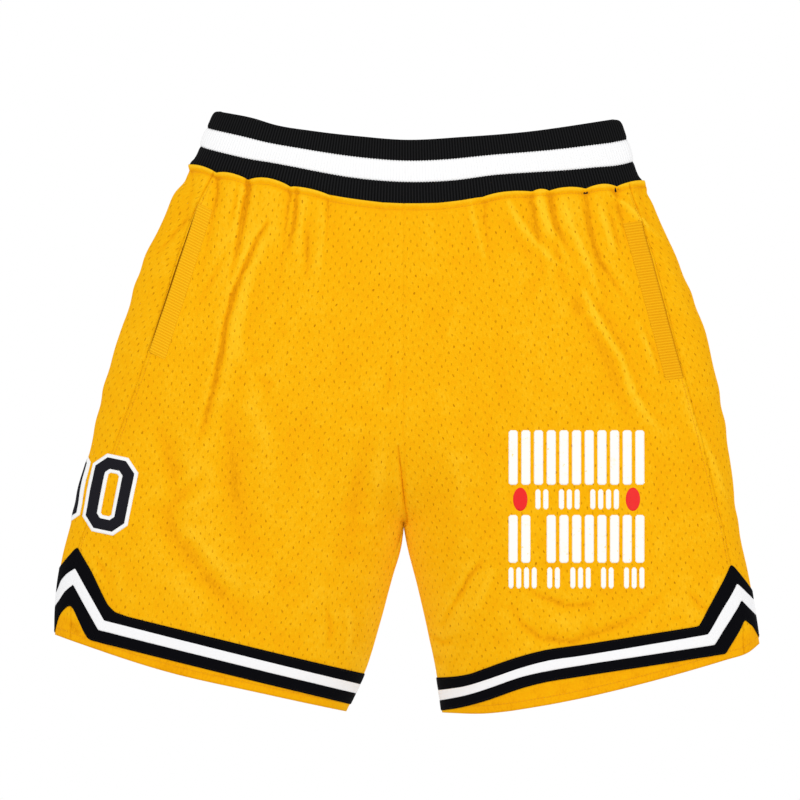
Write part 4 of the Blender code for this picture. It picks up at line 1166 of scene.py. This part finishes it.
for name, side in SIDES:
    u, w = np.meshgrid(np.linspace(0, 1, 61), np.linspace(0, 1, 81), indexing="ij")
    s = 0.15 + 0.42 * u
    v = v_of(s)
    reach = np.minimum(flex_t(side, v[:, 0], -14.0), 0.66)[:, None]
    t = 0.03 + (reach - 0.03) * w
    # rounded lower corners
    lowc = smooth(w, 0.7, 1.0) * smooth(np.abs(2 * u - 1), 0.55, 1.0)
    t = t - 0.06 * lowc
    rim = np.minimum(np.minimum(u, 1 - u) * 8, np.minimum(w, 1 - w) * 12)
    puff = 0.5 * np.clip(rim, 0, 1) ** 0.5 + 0.35 * hash_noise(u * 120 + 7 * side, w * 200, 21, 17.0)
    top, _ = sample(side, v, t, -1.5)
    low, _ = sample(side, v, t, -2.0 - np.clip(puff, 0.1, None))
    run = arc(top)
    uv = np.stack([run, t * 470], -1)
    obj = shell(f"pocket_bag_mesh_{name}", top, low, M["gold_loose"], uv, flip=side < 0)
    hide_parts(f"pocket_bag_{name}")
    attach(obj, "waist")
    SHEETS.append((obj, area_of(top), (run[-1].max() * MM, float(arc(top.transpose(1, 0, 2))[-1].max()) * MM), "hung"))


# numbers: two eight-cornered zeroes on the outer left leg, over its fold
def octagon(angle, width, height, cut):
    c, s = np.abs(np.cos(angle)) + 1e-9, np.abs(np.sin(angle)) + 1e-9
    return np.minimum(np.minimum(width / 2 / c, height / 2 / s), (width / 2 + height / 2 - cut) / (c + s))


def fold_x(side, z):
    line = outer_line[side](np.linspace(0, 1, 400))[::-1]
    return np.interp(z, line[:, 1], line[:, 0])


# how far in from the fold, in the rear view, a length of cloth laid round it reaches
REAR_REACH = np.linspace(0, 1, 400) ** 2 * 80.0
_drop = 62.0 * rounded(REAR_REACH, FOLD_WIDTH)
REAR_LENGTH = np.concatenate([[0], np.cumsum(np.hypot(np.diff(REAR_REACH), np.diff(_drop)))])


def unfolded(side, past, z, off):
    # the first few millimetres are drawn together, since the front view shows them stretched
    laid = past - 0.4 * np.clip(past, 0, 8)
    inward = np.where(past > 0, np.interp(laid, REAR_LENGTH, REAR_REACH), -past)
    s, t = patch_of(side, fold_x(side, z) - side * inward, z)
    return sample(side, v_of(np.where(past > 0, -s, s)), t, off)[0]


def octagon_angles(width, height, cut):
    x, z = width / 2, height / 2
    pts = [(x, z - cut), (x - cut, z)]
    a = [math.atan2(b, c) for c, b in pts]
    return a + [math.pi - k for k in a] + [math.pi + k for k in a] + [2 * math.pi - k for k in a]


NEAR_FOLD = [k * j for k in (-1, 1) for j in (0.25, 0.7, 1.3, 2.0, 3.0, 4.2, 5.6, 7.2, 9.2, 11.5, 14.0, 17.0)] + [0.0]


def zero(name, mat, node, middle, outer, inner, low, high, rows):
    """An eight-cornered zero cut from twill and laid round the fold."""
    ang = np.unique(np.round(np.concatenate([np.linspace(0, 2 * np.pi, 180, endpoint=False),
                                             octagon_angles(*outer), octagon_angles(*inner)]), 4) % (2 * np.pi))
    w = np.linspace(0, 1, rows)
    r = octagon(ang, *outer)[:, None] * (1 - w) + octagon(ang, *inner)[:, None] * w
    x, z = r * np.cos(ang)[:, None], r * np.sin(ang)[:, None]
    xx = middle[0] + x * math.cos(DIGIT_TILT) + z * math.sin(DIGIT_TILT)
    zz = middle[1] - x * math.sin(DIGIT_TILT) + z * math.cos(DIGIT_TILT)
    past = -(xx - fold_x(-1, zz))
    # laid flat, cut along lines near the fold, then bent
    bm = bmesh.new()
    rim = np.clip(np.minimum(w, 1 - w) * (rows - 1) * 0.7, 0, 1) ** 0.6 + 0 * r
    pts = [bm.verts.new((a, b, c)) for a, b, c in zip(past.ravel() * MM, zz.ravel() * MM, rim.ravel() * MM)]
    for f in grid_faces(len(ang), rows, 0, True):
        bm.faces.new([pts[k] for k in f])
    for cut in NEAR_FOLD:
        bmesh.ops.bisect_plane(bm, geom=bm.verts[:] + bm.edges[:] + bm.faces[:], dist=1e-8,
                               plane_co=(cut * MM, 0, 0), plane_no=(1, 0, 0))
    bmesh.ops.triangulate(bm, faces=bm.faces[:])
    bm.verts.index_update()
    flat = np.array([v.co[:] for v in bm.verts]) / MM
    tri = np.array([[v.index for v in f.verts] for f in bm.faces])
    bm.free()
    a = flat[tri[:, 1]] - flat[tri[:, 0]]
    b = flat[tri[:, 2]] - flat[tri[:, 0]]
    turn = a[:, 0] * b[:, 1] - a[:, 1] * b[:, 0]
    tri = np.where((turn > 0)[:, None], tri[:, ::-1], tri)      # past grows to the viewer's left
    tri = tri[np.abs(turn) > 1e-7]
    top = unfolded(-1, flat[:, 0], flat[:, 1], low + (high - low) * (0.5 + 0.5 * flat[:, 2]))
    under = unfolded(-1, flat[:, 0], flat[:, 1], low)
    n = len(flat)
    edges = np.concatenate([tri[:, [0, 1]], tri[:, [1, 2]], tri[:, [2, 0]]])
    key = np.sort(edges, axis=1)
    _, first, count = np.unique(key[:, 0].astype(np.int64) * n + key[:, 1], return_index=True, return_counts=True)
    e = edges[first[count == 1]]
    sides = np.concatenate([np.stack([e[:, 1], e[:, 0], e[:, 0] + n], -1), np.stack([e[:, 1], e[:, 0] + n, e[:, 1] + n], -1)])
    faces = np.concatenate([tri, tri[:, ::-1] + n, sides])
    uv = np.concatenate([flat[:, :2], flat[:, :2]])
    obj = make(name, np.concatenate([top, under]), faces, M[mat], uv)
    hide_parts(node)
    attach(obj, "leg_left")
    return obj


for label, middle in zip(("front", "rear"), ((-265.9, -319.9), (-310.1, -310.4))):
    back = zero(f"number_{label}_white", "twill_white", f"number_backing_{label}", middle,
                (42.6, 71.2, 11.4), (9.8, 38.6, 1.8), 0.42, 1.15, 12)
    fill = zero(f"number_{label}_black", "twill_black", f"number_fill_{label}", middle,
                (36.0, 64.6, 9.5), (16.4, 45.1, 3.7), 1.0, 1.75, 9)
    LAYERS["front_panel_left" if label == "front" else "back_panel_left"] += [back, fill]

# printed rows: plain rounded blocks and two plain ovals, set into the cloth
PRINT_ROWS = {
    # x from, x to, z from, z to, bars, gap, bars left out
    "print_row_1": (92, 214, -262, -311, 11, 3.2, ()),
    "print_row_2": (116, 191, -315, -333, 11, 2.4, (2, 6)),
    "print_row_3": (92, 214, -338, -381, 11, 3.2, (2,)),
    "print_row_4": (92, 214, -385, -404, 18, 2.4, (4, 7, 11, 14)),
}
PRINT_DISCS = {"print_disc_inner": (102.5, -324), "print_disc_outer": (203.5, -324)}
DISC_SIZE = (13.0, 21.0)


def patchwork(name, shapes, mat, off_low, off_high):
    """Several thin closed patches in one mesh: shapes are grids of x, z in the front view."""
    verts, faces, uvs, base = [], [], [], 0
    for xz in shapes:
        nu, nw = xz.shape[:2]
        rim = np.ones((nu, nw))
        rim[[0, -1], :] = 0
        rim[:, [0, -1]] = 0
        top = cloth_at(1, xz[..., 0], xz[..., 1], off_low + (off_high - off_low) * (0.35 + 0.65 * rim))
        low = cloth_at(1, xz[..., 0], xz[..., 1], off_low + 0 * rim)
        n = nu * nw
        verts += [top.reshape(-1, 3), low.reshape(-1, 3)]
        uvs += [xz.reshape(-1, 2)] * 2
        f = [grid_faces(nu, nw, base, False, True), grid_faces(nu, nw, base + n, False, False)]
        edges = np.concatenate([f[0][:, [0, 1]], f[0][:, [1, 2]], f[0][:, [2, 3]], f[0][:, [3, 0]]])
        key = np.sort(edges, axis=1)
        _, first, count = np.unique(key[:, 0] * 10_000_000 + key[:, 1], return_index=True, return_counts=True)
        e = edges[first[count == 1]]
        f.append(np.stack([e[:, 1], e[:, 0], e[:, 0] + n, e[:, 1] + n], -1))
        faces += f
        base += 2 * n
    return make(name, np.concatenate(verts), np.concatenate(faces), mat, np.concatenate(uvs))


def rounded_block(x0, x1, z0, z1, corner, skew=0.0):
    """Grid of a block with rounded corners: rows pulled in near its ends."""
    nz = max(8, int(abs(z1 - z0) / 1.6))
    nx = max(6, int(abs(x1 - x0) / 1.6))
    a, b = np.meshgrid(np.linspace(0, 1, nx), np.linspace(0, 1, nz), indexing="ij")
    z = z0 + (z1 - z0) * b
    d = np.minimum(b, 1 - b) * abs(z1 - z0)
    pull = corner - np.sqrt(np.clip(corner ** 2 - (corner - np.minimum(d, corner)) ** 2, 0, None))
    x = x0 + pull + (x1 - x0 - 2 * pull) * a
    return np.stack([x, z], -1)


for node, (x0, x1, z0, z1, count, gap, skipped) in PRINT_ROWS.items():
    wide = (x1 - x0 - gap * (count - 1)) / count
    shapes = []
    for k in range(count):
        if k in skipped:
            continue
        a = x0 + k * (wide + gap)
        shapes.append(rounded_block(a, a + wide, z0, z1, min(1.6, wide * 0.3)))
    obj = patchwork(node + "_blocks", shapes, M["print_white"], 0.32, 0.62)
    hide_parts(node)
    hinge_blend(obj)
    LAYERS["front_panel_right"].append(obj)
for node, (cx, cz) in PRINT_DISCS.items():
    a, b = np.meshgrid(np.linspace(-1, 1, 17), np.linspace(-1, 1, 17), indexing="ij")
    x = cx + DISC_SIZE[0] / 2 * a * np.sqrt(1 - b * b / 2)
    z = cz - DISC_SIZE[1] / 2 * b * np.sqrt(1 - a * a / 2)
    obj = patchwork(node + "_oval", [np.stack([x, z], -1)], M["print_red"], 0.32, 0.62)
    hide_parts(node)
    hinge_blend(obj)
    LAYERS["front_panel_right"].append(obj)


# stitches: short capsules along a path on the cloth
def stitches(name, side, v, t, off, pitch, long, radius, mat):
    """A dashed line of thread along v, t."""
    p, n = sample(side, v, t, off)
    d = np.concatenate([[0], np.cumsum(np.linalg.norm(np.diff(p, axis=0), axis=1))])
    count = int(d[-1] / pitch)
    at = (np.arange(count) + 0.5) * pitch
    def on(x):
        return np.stack([np.interp(x, d, p[:, k]) for k in range(3)], -1)
    a, b = on(at - long / 2), on(at + long / 2)
    nn = np.stack([np.interp(at, d, n[:, k]) for k in range(3)], -1)
    along = b - a
    along /= np.linalg.norm(along, axis=1, keepdims=True) + 1e-9
    side_v = np.cross(along, nn)
    side_v /= np.linalg.norm(side_v, axis=1, keepdims=True) + 1e-9
    up = np.cross(side_v, along)
    rings, prof = 5, np.array([0.25, 0.85, 1.0, 0.85, 0.25])
    verts = []
    for k in range(rings):
        w = k / (rings - 1)
        c = a + (b - a) * w + up * (0.15 * math.sin(math.pi * w))
        for m in range(6):
            ang = m * math.pi / 3
            verts.append(c + radius * prof[k] * (side_v * math.cos(ang) + up * math.sin(ang)))
    verts = np.stack(verts, 1)                        # stitch, ring*6, 3
    base = np.arange(count)[:, None, None] * rings * 6
    quads = []
    for k in range(rings - 1):
        for m in range(6):
            quads.append([k * 6 + m, k * 6 + (m + 1) % 6, (k + 1) * 6 + (m + 1) % 6, (k + 1) * 6 + m])
    caps = [[3, 2, 1, 0], [5, 4, 3, 0], [24, 25, 26, 27], [24, 27, 28, 29]]
    q = np.array(quads + caps)[None] + base
    uv = np.stack([np.tile(np.arange(6) * 0.3, rings)[None] + 0 * verts[..., 0],
                   np.repeat(np.arange(rings) * long / 4, 6)[None] + at[:, None]], -1)
    return make(name, verts.reshape(-1, 3), q.reshape(-1, 4), mat, uv.reshape(-1, 2))


for name, side in SIDES:
    v = np.linspace(-0.999, 0.999, 900)
    hem = stitches(f"hem_stitches_{name}", side, v, np.full(v.shape, 0.9845), 0.55, 2.9, 2.0, 0.24, M["thread_gold"])
    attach(hem, "leg_" + name)
    LAYERS[f"front_panel_{name}"].append(hem)
    waist = stitches(f"waist_seam_stitches_{name}", side, v, np.full(v.shape, 0.0125), 0.5, 2.6, 1.9, 0.22, M["thread_gold"])
    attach(waist, "waist")
    LAYERS[f"front_panel_{name}"].append(waist)
    q = share_of(v)
    for number, shift, mat, slot in ((0, 0.0035, "thread_black", "tape_black"), (3, -0.0035, "thread_black", "tape_black")):
        t = level_of(side, number, q) + shift
        obj = stitches(f"tape_stitches_{number}_{name}", side, v, t, 1.3, 2.6, 1.9, 0.2, M[mat])
        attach(obj, "leg_" + name)
        LAYERS[f"front_panel_{name}"].append(obj)

# side seams: a line of thread just behind each
for name, side in SIDES:
    t = np.linspace(0.02, 0.93, 700)
    v = side_seam_v(side, t) + 0.012
    seam = stitches(f"side_seam_stitches_{name}", side, v, t, 0.5, 2.7, 2.0, 0.2, M["thread_gold"])
    hinge_blend(seam)
    LAYERS[f"front_panel_{name}"].append(seam)

# ------------------------------------------------------------------- sheet sizes, worked out and not used
for obj, area, flat, held in SHEETS:
    w, l = max(flat[0], 0.0102), max(flat[1], 0.0102)
    a = float(np.clip(area, 0.31 * w * l, 1.0 * w * l))

# ------------------------------------------------------------- camera, light and floor
scene = bpy.context.scene
scene.view_settings.view_transform = "Standard"
cam_data = bpy.data.cameras.new("camera")
cam_data.sensor_width = 36.0
cam_data.lens = 800.0
cam_data.clip_start, cam_data.clip_end = 0.5, 60.0
cam = bpy.data.objects.new("camera", cam_data)
cam.location = (-0.0054, -16.0, -0.2349)
cam.rotation_euler = (math.radians(90), 0, 0)
scene.collection.objects.link(cam)
scene.camera = cam

world = bpy.data.worlds.new("studio")
scene.world = world
world.use_nodes = True
wt = world.node_tree
bg = wt.nodes["Background"]
bg.inputs["Color"].default_value = (1.0, 1.0, 1.0, 1.0)
bg.inputs["Strength"].default_value = 0.765
# the backdrop itself stays plain white; only what lights the cloth is dimmer
sky = wt.nodes.new("ShaderNodeBackground")
sky.inputs["Color"].default_value = (1.0, 1.0, 1.0, 1.0)
sky.inputs["Strength"].default_value = 1.0
path = wt.nodes.new("ShaderNodeLightPath")
pick = wt.nodes.new("ShaderNodeMixShader")
wt.links.new(path.outputs["Is Camera Ray"], pick.inputs[0])
wt.links.new(bg.outputs[0], pick.inputs[1])
wt.links.new(sky.outputs[0], pick.inputs[2])
wt.links.new(pick.outputs[0], wt.nodes["World Output"].inputs["Surface"])


def area_light(name, at, look, size, watts, colour=(1, 1, 1)):
    data = bpy.data.lights.new(name, "AREA")
    data.shape = "DISK"
    data.size = size
    data.energy = watts
    data.color = colour
    obj = bpy.data.objects.new(name, data)
    obj.location = at
    obj.rotation_euler = (Vector(look) - Vector(at)).to_track_quat("-Z", "Y").to_euler()
    scene.collection.objects.link(obj)
    return obj


area_light("key", (-2.4, -3.2, 1.9), (0, 0, -0.25), 0.7, 43)
area_light("fill", (3.0, -2.6, 0.1), (0, 0, -0.25), 2.4, 30)
area_light("low_fill", (0.0, -3.4, -2.0), (0, 0, -0.40), 1.8, 11)
area_light("rear", (1.9, 3.6, 1.2), (0, 0, -0.25), 1.4, 34)

floor_mesh = bpy.data.meshes.new("floor")
n = 96
ang = np.linspace(0, 2 * np.pi, n, endpoint=False)
floor_mesh.from_pydata([(1.5 * math.cos(a), 1.5 * math.sin(a), 0) for a in ang], [], [list(range(n))])
floor = bpy.data.objects.new("floor", floor_mesh)
floor.location = (0, 0, -0.80)
fm = bpy.data.materials.new("pale_floor")
fm.use_nodes = True
fb = fm.node_tree.nodes["Principled BSDF"]
fb.inputs["Roughness"].default_value = 0.9
fn = fm.node_tree.nodes.new("ShaderNodeTexNoise")
fn.inputs["Scale"].default_value = 40.0
fr = fm.node_tree.nodes.new("ShaderNodeValToRGB")
fr.color_ramp.elements[0].color = (0.80, 0.80, 0.80, 1)
fr.color_ramp.elements[1].color = (0.86, 0.86, 0.86, 1)
fm.node_tree.links.new(fn.outputs["Fac"], fr.inputs[0])
fm.node_tree.links.new(fr.outputs[0], fb.inputs["Base Color"])
floor_mesh.materials.append(fm)
scene.collection.objects.link(floor)
